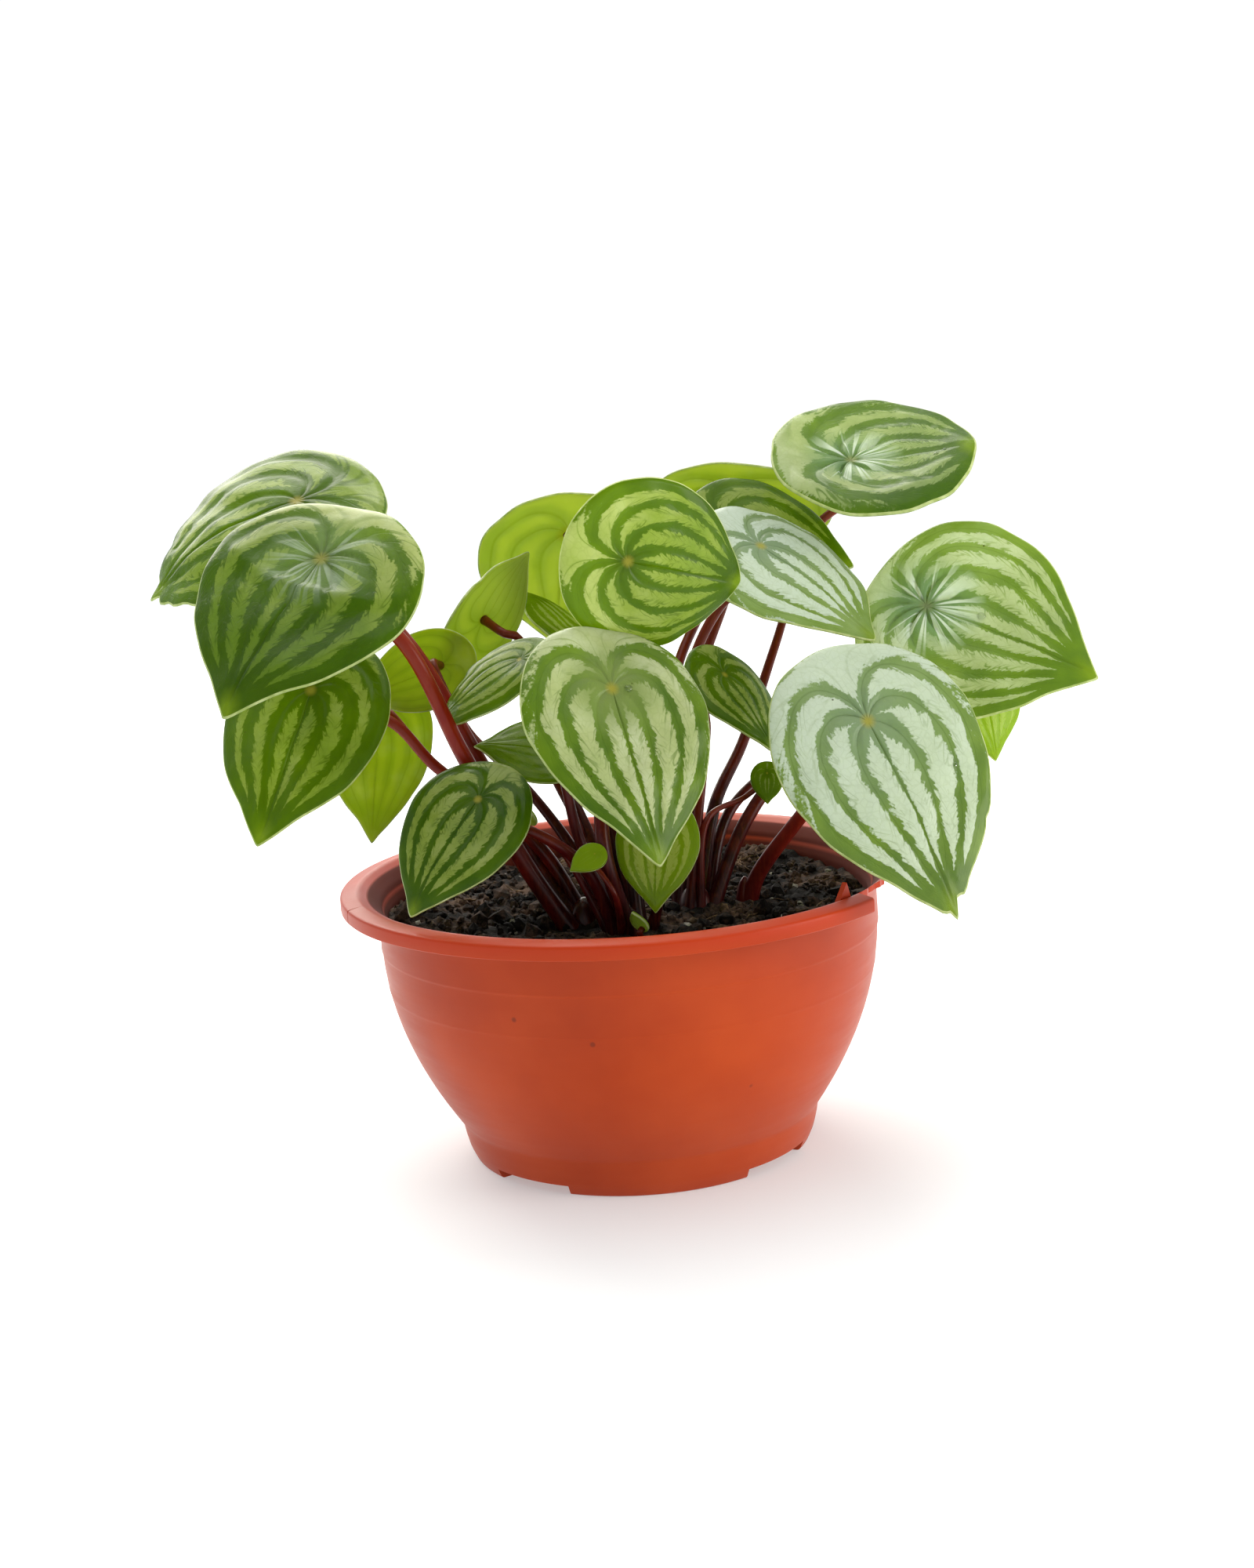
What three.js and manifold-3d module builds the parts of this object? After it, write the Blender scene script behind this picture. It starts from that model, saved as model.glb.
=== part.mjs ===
// A watermelon peperomia growing in a moulded plastic bowl pot.
// Units are millimetres and +Z is up. The origin is on the pot's axis, at the level of its foot.
// The plant faces -Y. Headings are degrees from +X, turning towards +Y.
import * as THREE from 'three';
import { mergeVertices } from 'three/addons/utils/BufferGeometryUtils.js';
import Module from 'manifold-3d';

const wasm = await Module();
wasm.setup();

// The pot: a round bowl, 18 cm across a rolled rim that stands out on a flared lip.
const RIM_RADIUS = 90;
const RIM_HEIGHT = 87.4;
const LIP_RADIUS = 85;
const LIP_HEIGHT = 88.4;
const SKIRT_LOW = 83;
const SKIRT_THICK = 1.8;
const BELLY_RADIUS = 78.2;
const BELLY_HEIGHT = 72;
const NECK_HEIGHT = 82;
const FOOT_RADIUS = 53.7;
const FOOT_WIDTH = 4;
const ANKLE_RADIUS = 57.2;
const ANKLE_HEIGHT = 12;
const WALL_ACROSS = 2.6;
const FLOOR_UNDER = 3.5;
const FLOOR_TOP = 6.5;
const POT_SIDES = 40;
const FULL_TURN = 360;

// The foot flares up into the bowl in two steps: how far out of the foot, and at what height.
const FOOT_FLARE = [[1.8, 4], [2.8, 8]];

// The rim's section from the neck outwards: a flared underside, the hanging skirt, and the roll that
// slopes up to the lip and down again inside. Each is a radius and a height.
const RIM_SECTION = [
  [BELLY_RADIUS + 1.8, NECK_HEIGHT + 2.4], [BELLY_RADIUS + 5, NECK_HEIGHT + 3.9],
  [RIM_RADIUS - SKIRT_THICK, NECK_HEIGHT + 3.7], [RIM_RADIUS - SKIRT_THICK, SKIRT_LOW],
  [RIM_RADIUS - 0.4, SKIRT_LOW], [RIM_RADIUS, SKIRT_LOW + 0.5], [RIM_RADIUS, RIM_HEIGHT - 0.8],
  [RIM_RADIUS - 0.8, RIM_HEIGHT], [LIP_RADIUS, LIP_HEIGHT], [LIP_RADIUS - 1.2, LIP_HEIGHT - 0.4],
  [LIP_RADIUS - 4.4, LIP_HEIGHT - 2.2], [BELLY_RADIUS - 0.4, NECK_HEIGHT + 1.8],
];

// Four arched notches in the foot and five drain holes in the floor.
const NOTCH_COUNT = 4;
const NOTCH_FIRST = -40;
const NOTCH_SPAN = 30;
const NOTCH_HEIGHT = 3.2;
const DRAIN_RADIUS = 4;
const DRAIN_CIRCLE = 30;

// Damage to the rim: a length of the roll is broken away at the front right, with a pointed tab
// left standing beside it, and a crack runs across the rim at the left.
const BREAK_FROM = -37;
const BREAK_TO = -11;
const BREAK_RADIUS = 82.8;
const TAB_HEADING = -41;
const TAB_RISE = 5;
const CRACK_HEADING = -161;
const CRACK_WIDTH = 0.9;

// The potting soil fills the bowl to a little under the lip, higher against the wall at two places.
const SOIL_LEVEL = 77;
const SOIL_BANKS = [
  { x: -66, y: -4, rise: 3, spread: 18 },
  { x: 46, y: 56, rise: 3.2, spread: 15 },
];
const SOIL_RIPPLE = 0.7;

// The air left between pieces. A stalk's hole in the soil is wider, because its flats cut corners.
const CLEARANCE = 0.35;
const HOLE_CLEARANCE = 0.65;

// Each shoot is a crown just under the soil, with the leaf stalks rising from it.
const ROOT_LEVEL = 74;
const CROWN_TOP = 79;
const CROWN_LOW = 62;
const STALK_SIDES = 8;
const STALK_STEP = 17;
const SHOOTS = {
  shoot_left: { x: -13.5, y: -18.5, radius: 6.5, colour: 0x6b2320 },
  shoot_centre: { x: 0.5, y: -32, radius: 7, colour: 0x551c22 },
  shoot_right: { x: 21, y: -8.5, radius: 6.5, colour: 0x6e2a22 },
  shoot_far_right: { x: 37, y: -4, radius: 3.6, colour: 0x7a2a22 },
};

// The blades: round-backed, drawn out to a small point, with the stalk joined inside the margin.
const BLADE_THICK = 0.9;
const POINT_SPREAD = 0.36;
const CUP_SPREAD = 0.45;
const GREEN = 0x5d8a35;
const YOUNG_GREEN = 0x8ca63c;
const TYPICAL_LEAF = {
  attach: 0.3, droop: 15, rearDroop: 10, cross: 8, sweep: 0, shoulder: 0.4, point: 0.08,
  cup: 1.2, wave: 0.5, straight: 12, rings: 3, sides: 20, colour: GREEN,
};

// For each leaf: where the stalk meets the blade, which way the midrib heads, how far it is pitched
// up and the blade rolled about it, its length and width, then its stalk, from root to blade.
// thick gives the stalk's radius at the root and at the blade.
const LEAVES = [
  { name: 'leaf_left_front', at: [-83, -35, 194], heading: -132, pitch: -40, roll: -22,
    length: 81, width: 70, rearDroop: 25, cross: 15, cup: 2.2, rings: 4, sides: 26,
    shoot: 'shoot_left', root: [-17, -24], thick: [3, 2.2],
    via: [[-31, -24, 98], [-47, -26, 133], [-62, -28, 168]] },
  { name: 'leaf_left_back', at: [-96, 20, 208], heading: -172, pitch: -12, roll: -30,
    length: 86, width: 71, attach: 0.33, droop: 45, rearDroop: 25, cross: 15, rings: 4, sides: 26,
    shoot: 'shoot_left', root: [-15, -20], thick: [2.8, 2.1],
    via: [[-28, -12, 96], [-44, -8, 129], [-61, -3, 162]] },
  { name: 'leaf_left_lower', at: [-92, -15, 153], heading: -118, pitch: -50, roll: -18,
    length: 75, width: 52, droop: 5, cross: 20,
    shoot: 'shoot_left', root: [-12, -16], thick: [2.4, 1.7],
    via: [[-27, -14, 101], [-57, -6, 126], [-70, -6, 141]] },
  { name: 'leaf_left_hanging', at: [-77, 32, 136], heading: -105, pitch: -65, roll: 150,
    length: 60, width: 36, droop: 10, cross: 10,
    shoot: 'shoot_left', root: [-10, -14], thick: [2, 1.4],
    via: [[-38, 2, 108], [-57, 12, 121]] },
  { name: 'leaf_folded_upper', at: [-41, 34, 166], heading: 15, pitch: 48, roll: -60,
    length: 46, width: 30, attach: 0.42, droop: -8, rearDroop: 8, cross: 20,
    shoot: 'shoot_centre', root: [-2, -30], thick: [2.2, 1.4],
    via: [[-11, -20, 105], [-22, 2, 127], [-28, 20, 144], [-30, 29, 160]] },
  { name: 'leaf_folded_lower', at: [-55, 18, 154], heading: 178, pitch: -20, roll: 100,
    length: 40, width: 27, droop: 20, cross: 30,
    shoot: 'shoot_centre', root: [-4, -29], thick: [2, 1.3],
    via: [[-15, -18, 98], [-31, -4, 119], [-47, 9, 134]] },
  { name: 'leaf_small_torn', at: [-28, -20, 159], heading: 179, pitch: -25, roll: -30,
    length: 42, width: 26, attach: 0.26, droop: 25, cross: 15, shoulder: 0.2, point: 0, cup: 0.8,
    shoot: 'shoot_centre', root: [0, -32], thick: [2, 1.4],
    via: [[-13, -32, 104], [-18, -33, 133]] },
  { name: 'leaf_back_left', at: [-12, 58, 190], heading: 105, pitch: -45, roll: 0,
    length: 70, width: 62, droop: 25, cross: 10, cup: 2, rings: 4, sides: 26,
    shoot: 'shoot_centre', root: [2, -28], thick: [2.3, 1.8],
    via: [[-4, -10, 113], [0, 14, 151], [-5, 40, 177]] },
  { name: 'leaf_centre_upper', at: [6, -32, 188], heading: 20, pitch: -16, roll: 98,
    length: 60, width: 52, attach: 0.34, droop: 22, rearDroop: 15, cross: 10, shoulder: 0.25, point: 0.03,
    shoot: 'shoot_centre', root: [3, -34], thick: [2.4, 1.8],
    via: [[2, -22, 120], [10, -2, 152], [10, 2, 174]] },
  { name: 'leaf_small_behind', at: [-10, 48, 156], heading: 140, pitch: 32, roll: 10,
    length: 40, width: 34, droop: 5, cross: 10,
    shoot: 'shoot_centre', root: [1, -27], thick: [2, 1.4],
    via: [[-7, -4, 114], [-6, 28, 142]] },
  { name: 'leaf_centre_front', at: [-1, -50, 153], heading: -70, pitch: -57, roll: -5,
    length: 78, width: 58, droop: 12, rearDroop: 30, cross: 10, sweep: 0.1, cup: 1.6, rings: 4, sides: 26,
    shoot: 'shoot_centre', root: [1, -37], thick: [2.6, 2],
    via: [[-6, -42, 103], [-6, -34, 127]] },
  { name: 'leaf_centre_right', at: [48, 9, 186], heading: -32, pitch: -34, roll: 16,
    length: 68, width: 54, droop: 10, cross: 20,
    shoot: 'shoot_right', root: [18, -8], thick: [2.2, 1.6],
    via: [[22, -2, 115], [24, 14, 147], [34, 19, 166]] },
  { name: 'leaf_back_centre', at: [44, 64, 199], heading: 75, pitch: -46, roll: 0,
    length: 54, width: 66, droop: 20, cross: 10,
    shoot: 'shoot_right', root: [16, -6], thick: [2.2, 1.6],
    via: [[17, 4, 114], [20, 24, 146], [32, 42, 168]] },
  { name: 'leaf_back_right', at: [41.5, 33, 191.5], heading: -14, pitch: -20, roll: 50,
    length: 58, width: 42, droop: 10, cross: 20,
    shoot: 'shoot_right', root: [20, -4], thick: [2, 1.5],
    via: [[22, 10, 115], [28, 24, 146], [38, 32, 170]] },
  { name: 'leaf_top_saucer', at: [80, 33, 209], heading: -5, pitch: -2, roll: 28,
    length: 66, width: 64, attach: 0.4, droop: -10, rearDroop: -20, cross: -8, shoulder: 0.06, point: 0,
    cup: 2, rings: 4, sides: 26,
    shoot: 'shoot_right', root: [22, -8], thick: [2.4, 1.4],
    via: [[29, 6, 105], [40, 20, 123], [53, 34, 152], [68, 41, 188]] },
  { name: 'leaf_right_large', at: [99, 8, 164], heading: -25, pitch: -21, roll: 52,
    length: 77, width: 70, attach: 0.26, droop: 10, cross: 5, cup: 2.2, rings: 4, sides: 26,
    shoot: 'shoot_right', root: [25, -10], thick: [2.4, 1.7],
    via: [[39, 0, 102], [63, 14, 127], [87, 20, 150]] },
  { name: 'leaf_right_front', at: [73, -45, 138], heading: -48, pitch: -55, roll: 25,
    length: 91, width: 65, droop: 10, rearDroop: 25, cross: 10, sweep: -0.1, cup: 2, rings: 4, sides: 26,
    shoot: 'shoot_far_right', root: [37, -4], thick: [2.6, 2],
    via: [[41, -6, 85], [55, -14, 105], [67, -28, 124]] },
  { name: 'leaf_right_inner', at: [34, -2, 148], heading: -45, pitch: -47, roll: 0,
    length: 41, width: 32, droop: 10, cross: 20,
    shoot: 'shoot_right', root: [19, -12], thick: [2, 1.4],
    via: [[23, -8, 103], [28, 4, 131]] },
  { name: 'leaf_front_left', at: [-42, -45, 122], heading: -140, pitch: -42, roll: -28,
    length: 55, width: 38, attach: 0.27, droop: 20, rearDroop: 30, cross: 15, rings: 4,
    shoot: 'shoot_centre', root: [-3, -36], thick: [2.4, 1.6],
    via: [[-12, -38, 98], [-28, -40, 111]] },
  { name: 'leaf_front_young', at: [10, -38, 108], heading: -105, pitch: -65, roll: 0,
    length: 35, width: 26, droop: 10, cross: 10, cup: 0.5, straight: 6, colour: YOUNG_GREEN,
    shoot: 'shoot_centre', root: [6, -33], thick: [1.8, 1.2],
    via: [[12, -34, 97]] },
  { name: 'leaf_small_inner', at: [-20, -16, 130], heading: -172, pitch: 10, roll: -35,
    length: 34, width: 28, droop: 10, cross: 10, straight: 6,
    shoot: 'shoot_centre', root: [-2, -27], thick: [1.8, 1.2],
    via: [[-14, -20, 108]] },
  { name: 'leaf_right_small', at: [119, 35, 137], heading: -60, pitch: -70, roll: 10,
    length: 40, width: 30, cup: 0.6, straight: 8, colour: YOUNG_GREEN,
    shoot: 'shoot_right', root: [24, -6], thick: [2, 1.4],
    via: [[35, 10, 104], [70, 30, 122], [102, 42, 131]] },
  { name: 'leaf_tiny_curled', at: [46, 0, 116], heading: -100, pitch: -60, roll: 0,
    length: 14, width: 11, cup: 0.3, wave: 0.2, straight: 4, rings: 2, sides: 14,
    shoot: 'shoot_right', root: [22, -13], thick: [1.6, 0.9],
    via: [[26, -8, 104], [39, 5, 108]] },
  { name: 'leaf_bud_front', at: [-9, -47, 104], heading: -150, pitch: -20, roll: -45,
    length: 13, width: 9, cup: 0.2, wave: 0.1, straight: 4, rings: 2, sides: 14, colour: YOUNG_GREEN,
    shoot: 'shoot_centre', root: [-2, -37], thick: [1.5, 0.8],
    via: [[-4, -47, 92]] },
  { name: 'leaf_bud_left', at: [-29, -29, 114], heading: -120, pitch: 50, roll: -20,
    length: 16, width: 10, cup: 0.2, wave: 0.1, straight: 3, rings: 2, sides: 14, colour: YOUNG_GREEN,
    shoot: 'shoot_centre', root: [-5, -33], thick: [1.6, 0.8],
    via: [[-20, -30, 103]] },
  { name: 'leaf_sprout', at: [4, -43, 80], heading: -130, pitch: 60, roll: 0,
    length: 9, width: 6, attach: 0.15, cup: 0, wave: 0, straight: 2, rings: 2, sides: 14,
    colour: YOUNG_GREEN, shoot: 'shoot_centre', root: [2, -37], thick: [1.2, 0.8],
    via: [[3.5, -41, 76]] },
];

const radians = THREE.MathUtils.degToRad;

// Joins equal corners and drops flat triangles, so that the mesh is one closed skin.
function weld(geometry) {
  const bare = geometry.clone();
  bare.deleteAttribute('normal');
  bare.deleteAttribute('uv');
  const merged = mergeVertices(bare, 1e-3);
  const index = merged.getIndex().array;
  const kept = [];
  for (let i = 0; i < index.length; i += 3) {
    const [a, b, c] = [index[i], index[i + 1], index[i + 2]];
    if (a !== b && b !== c && c !== a) {
      kept.push(a, b, c);
    }
  }
  merged.setIndex(kept);
  return merged;
}

function toSolid(geometry) {
  const skin = weld(geometry);
  return new wasm.Manifold(new wasm.Mesh({
    numProp: 3,
    vertProperties: new Float32Array(skin.getAttribute('position').array),
    triVerts: new Uint32Array(skin.getIndex().array),
  }));
}

function toGeometry(solid) {
  const mesh = solid.getMesh();
  const geometry = new THREE.BufferGeometry();
  geometry.setAttribute('position', new THREE.BufferAttribute(new Float32Array(mesh.vertProperties), 3));
  geometry.setIndex(new THREE.BufferAttribute(new Uint32Array(mesh.triVerts), 1));
  return geometry;
}

function makeMesh(name, geometry, colour, roughness) {
  geometry.computeVertexNormals();
  const material = new THREE.MeshStandardMaterial({ color: colour, roughness, metalness: 0 });
  const mesh = new THREE.Mesh(geometry, material);
  mesh.name = name;
  return mesh;
}

// A profile of [radius, height] points turned about the pot's upright axis.
function turned(profile) {
  const points = profile.map(([radius, height]) => new THREE.Vector2(radius, height));
  return new THREE.LatheGeometry(points, POT_SIDES).rotateX(Math.PI / 2);
}

// A flat ring segment between two headings and two radii, from one height to another.
function ringSegment(from, to, innerRadius, outerRadius, low, high) {
  const shape = new THREE.Shape();
  shape.absarc(0, 0, outerRadius, radians(from), radians(to), false);
  shape.absarc(0, 0, innerRadius, radians(to), radians(from), true);
  const settings = { depth: high - low, bevelEnabled: false, curveSegments: 5 };
  return new THREE.ExtrudeGeometry(shape, settings).translate(0, 0, low);
}

// The bowl's outer radius: a parabola from the ankle up to the belly, and straight above it.
function bowlRadius(height) {
  const below = Math.max(0, BELLY_HEIGHT - height) / (BELLY_HEIGHT - ANKLE_HEIGHT);
  return BELLY_RADIUS - (BELLY_RADIUS - ANKLE_RADIUS) * below ** 2;
}

// Heights at which the bowl's curve is stepped, inside and out.
const WALL_LEVELS = [14, 22, 32, 44, 57, 72];

function potSolid() {
  const footInner = FOOT_RADIUS - FOOT_WIDTH;
  const outside = [
    [0, FLOOR_UNDER], [footInner - 2, FLOOR_UNDER], [footInner, 0], [FOOT_RADIUS, 0],
    ...FOOT_FLARE.map(([out, height]) => [FOOT_RADIUS + out, height]), [ANKLE_RADIUS, ANKLE_HEIGHT],
    ...WALL_LEVELS.slice(1).map((height) => [bowlRadius(height), height]), [BELLY_RADIUS, NECK_HEIGHT],
  ];
  const inside = [
    [BELLY_RADIUS - WALL_ACROSS, NECK_HEIGHT - 3],
    ...WALL_LEVELS.map((height) => [bowlRadius(height) - WALL_ACROSS, height]).reverse(),
    [FOOT_RADIUS - 1, FLOOR_TOP + 2], [FOOT_RADIUS - 4, FLOOR_TOP], [0, FLOOR_TOP],
  ];
  let pot = toSolid(turned([...outside, ...RIM_SECTION, ...inside]));
  for (let i = 0; i < NOTCH_COUNT; i += 1) {
    const middle = NOTCH_FIRST + (i * FULL_TURN) / NOTCH_COUNT;
    const notch = ringSegment(middle - NOTCH_SPAN / 2, middle + NOTCH_SPAN / 2,
      footInner - 4, FOOT_RADIUS + 6, -1, NOTCH_HEIGHT);
    pot = pot.subtract(toSolid(notch));
  }
  pot = pot.subtract(drainHole(0, 0));
  for (let i = 0; i < NOTCH_COUNT; i += 1) {
    const heading = radians(NOTCH_FIRST + (i * FULL_TURN) / NOTCH_COUNT);
    pot = pot.subtract(drainHole(DRAIN_CIRCLE * Math.cos(heading), DRAIN_CIRCLE * Math.sin(heading)));
  }
  return pot.subtract(toSolid(brokenRim())).subtract(toSolid(rimCrack())).add(toSolid(rimTab()));
}

function drainHole(x, y) {
  const plug = new THREE.CylinderGeometry(DRAIN_RADIUS, DRAIN_RADIUS, FLOOR_TOP * 2, 16);
  return toSolid(plug.rotateX(Math.PI / 2).translate(x, y, FLOOR_TOP / 2));
}

// The missing length of the roll. Its inner edge runs in and out, as torn plastic does.
function brokenRim() {
  const shape = new THREE.Shape();
  shape.absarc(0, 0, RIM_RADIUS + 5, radians(BREAK_FROM), radians(BREAK_TO), false);
  const teeth = 7;
  for (let i = 0; i <= teeth; i += 1) {
    const heading = radians(BREAK_TO + ((BREAK_FROM - BREAK_TO) * i) / teeth);
    const radius = BREAK_RADIUS + 0.9 * Math.sin(2.3 * i + 0.4);
    shape.lineTo(radius * Math.cos(heading), radius * Math.sin(heading));
  }
  const depth = LIP_HEIGHT - NECK_HEIGHT + 4;
  const cut = new THREE.ExtrudeGeometry(shape, { depth, bevelEnabled: false, curveSegments: 8 });
  return cut.translate(0, 0, NECK_HEIGHT);
}

function rimCrack() {
  const length = RIM_RADIUS - LIP_RADIUS + 4;
  const cut = new THREE.BoxGeometry(length, CRACK_WIDTH, 12);
  cut.translate(LIP_RADIUS - 1 + length / 2, 0, LIP_HEIGHT);
  return cut.rotateZ(radians(CRACK_HEADING));
}

function rimTab() {
  const thick = 1.6;
  const shape = new THREE.Shape([new THREE.Vector2(-4, -1.5), new THREE.Vector2(4, -1.5),
    new THREE.Vector2(1.5, TAB_RISE)]);
  const tab = new THREE.ExtrudeGeometry(shape, { depth: thick, bevelEnabled: false });
  tab.rotateX(Math.PI / 2).rotateZ(Math.PI / 2).translate(LIP_RADIUS - 1.4, 0, LIP_HEIGHT - 1);
  return tab.rotateZ(radians(TAB_HEADING));
}

// The soil's surface: level, but for the two banks and low ripples 25 to 45 mm long.
function soilHeight(x, y) {
  const banks = SOIL_BANKS.map((bank) => {
    const away = Math.hypot(x - bank.x, y - bank.y) / bank.spread;
    return bank.rise * Math.exp(-(away ** 2));
  });
  const longRipple = Math.sin(x / 7.3 + 1) * Math.sin(y / 6.1);
  const shortRipple = 0.6 * Math.sin(x / 3.9 - y / 4.7);
  return SOIL_LEVEL + SOIL_RIPPLE * (longRipple + shortRipple) + banks.reduce((sum, rise) => sum + rise, 0);
}

function soilSolid(stalkHoles) {
  const topRadius = BELLY_RADIUS - WALL_ACROSS - CLEARANCE;
  const rings = [1, 0.85, 0.65, 0.42, 0.2].map((share) => [share * topRadius, SOIL_LEVEL]);
  const lowest = FLOOR_TOP + CLEARANCE;
  const profile = [
    [0, lowest], [FOOT_RADIUS - 4.5, lowest], [FOOT_RADIUS - 1.6, lowest + 2.2],
    ...WALL_LEVELS.map((height) => [bowlRadius(height) - WALL_ACROSS - CLEARANCE, height]),
    ...rings, [0, SOIL_LEVEL],
  ];
  const geometry = weld(turned(profile));
  const place = geometry.getAttribute('position');
  for (let i = 0; i < place.count; i += 1) {
    if (place.getZ(i) > SOIL_LEVEL - 1) {
      place.setZ(i, soilHeight(place.getX(i), place.getY(i)));
    }
  }
  return largestBody(toSolid(geometry).subtract(stalkHoles));
}

// The stalk holes cut a few crumbs loose where stalks stand close together, and these are dropped.
function largestBody(solid) {
  return solid.decompose().reduce((most, body) => (body.volume() > most.volume() ? body : most));
}

// The greatest value of sin(angle) * |sin(angle / 2)| ** shoulder, which scales a blade to its width.
function outlinePeak(shoulder) {
  return 2 * ((shoulder + 1) / (shoulder + 2)) ** ((shoulder + 1) / 2) / Math.sqrt(shoulder + 2);
}

// A point of the blade's outline, at an angle from the tip, laid out flat: along and across the midrib.
function outlinePoint(leaf, angle) {
  const fromTip = Math.atan2(Math.sin(angle), Math.cos(angle));
  const along = leaf.length * (1 - leaf.point) * (0.5 + 0.5 * Math.cos(angle)) - leaf.attach * leaf.length
    + leaf.length * leaf.point * Math.exp(-((fromTip / POINT_SPREAD) ** 2));
  const across = 0.5 * leaf.width * Math.sin(angle) * Math.abs(Math.sin(angle / 2)) ** leaf.shoulder;
  return [along, across / outlinePeak(leaf.shoulder)];
}

// Bends a flat strip to an arc: gives how far along and how far down a point comes to lie.
function arc(distance, curvature) {
  if (Math.abs(curvature) < 1e-6) {
    return [distance, 0];
  }
  const turn = distance * curvature;
  return [Math.sin(turn) / curvature, -(1 - Math.cos(turn)) / curvature];
}

// The blade's middle surface in the leaf's own axes: along the midrib, across it and up.
function bladePoint(leaf, along, across) {
  const front = (1 - leaf.attach) * leaf.length;
  const rear = leaf.attach * leaf.length;
  const half = leaf.width / 2;
  const curvature = along >= 0 ? radians(leaf.droop) / front : radians(leaf.rearDroop) / rear;
  const [x, z] = arc(along, curvature);
  const swept = across + leaf.sweep * half * (Math.max(0, along) / front) ** 2;
  const [y, sag] = arc(swept, radians(leaf.cross) / half);
  const away = Math.hypot((2 * along) / leaf.length, swept / half);
  const rise = sag + leaf.cup * (1 - Math.exp(-((away / CUP_SPREAD) ** 2)));
  const tilt = along * curvature;
  return new THREE.Vector3(x + Math.sin(tilt) * rise, y, z + Math.cos(tilt) * rise);
}

function bladeNormal(leaf, along, across) {
  const step = 0.05;
  const ahead = bladePoint(leaf, along + step, across).sub(bladePoint(leaf, along - step, across));
  const aside = bladePoint(leaf, along, across + step).sub(bladePoint(leaf, along, across - step));
  return ahead.cross(aside).normalize();
}

// The leaf's own axes where the stalk joins it: along the midrib, to its left, and out of its face.
function leafAxes(leaf) {
  const heading = radians(leaf.heading);
  const pitch = radians(leaf.pitch);
  const roll = radians(leaf.roll);
  const along = new THREE.Vector3(Math.cos(pitch) * Math.cos(heading), Math.cos(pitch) * Math.sin(heading),
    Math.sin(pitch));
  const level = new THREE.Vector3(-Math.sin(heading), Math.cos(heading), 0);
  const up = along.clone().cross(level);
  const left = level.clone().multiplyScalar(Math.cos(roll)).addScaledVector(up, Math.sin(roll));
  return { along, left, face: along.clone().cross(left) };
}

// A blade: rings of points from the stalk out to the margin, alike on both faces.
function bladeGeometry(leaf, phase) {
  const { along, left, face } = leafAxes(leaf);
  const frame = new THREE.Matrix4().makeBasis(along, left, face).setPosition(...leaf.at);
  const flat = [[0, 0, 0]];
  for (let ring = 1; ring <= leaf.rings; ring += 1) {
    for (let side = 0; side < leaf.sides; side += 1) {
      const share = ring / leaf.rings;
      const angle = (2 * Math.PI * side) / leaf.sides;
      const [u, v] = outlinePoint(leaf, angle);
      const wave = leaf.wave * share ** 3 * Math.sin(3 * angle + phase);
      flat.push([u * share, v * share, wave]);
    }
  }
  const positions = [];
  for (const half of [BLADE_THICK / 2, -BLADE_THICK / 2]) {
    for (const [u, v, wave] of flat) {
      const point = bladePoint(leaf, u, v).addScaledVector(bladeNormal(leaf, u, v), wave + half);
      positions.push(...point.applyMatrix4(frame));
    }
  }
  const index = [];
  const under = flat.length;
  const bothFaces = (a, b, c) => index.push(a, b, c, under + a, under + c, under + b);
  for (let side = 0; side < leaf.sides; side += 1) {
    const next = (side + 1) % leaf.sides;
    bothFaces(0, 1 + side, 1 + next);
    for (let ring = 0; ring < leaf.rings - 1; ring += 1) {
      const inner = 1 + ring * leaf.sides;
      const outer = inner + leaf.sides;
      bothFaces(inner + side, outer + side, outer + next);
      bothFaces(inner + side, outer + next, inner + next);
    }
    const edge = 1 + (leaf.rings - 1) * leaf.sides;
    index.push(edge + side, under + edge + side, under + edge + next);
    index.push(edge + side, under + edge + next, edge + next);
  }
  const geometry = new THREE.BufferGeometry();
  geometry.setAttribute('position', new THREE.Float32BufferAttribute(positions, 3));
  geometry.setIndex(index);
  return geometry;
}

// A stalk's curve, from the crown up to just under its blade, which it meets square on.
// It starts lower where the stalk is made thicker by extra, as its hole is.
function stalkCurve(leaf, extra) {
  const { face } = leafAxes(leaf);
  const join = new THREE.Vector3(...leaf.at);
  const end = join.clone().addScaledVector(face, -(BLADE_THICK / 2 + CLEARANCE));
  const before = join.clone().addScaledVector(face, -leaf.straight);
  const root = new THREE.Vector3(leaf.root[0], leaf.root[1], ROOT_LEVEL - extra);
  const via = leaf.via.map((point) => new THREE.Vector3(...point));
  return new THREE.CatmullRomCurve3([root, ...via, before, end], false, 'centripetal');
}

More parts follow.
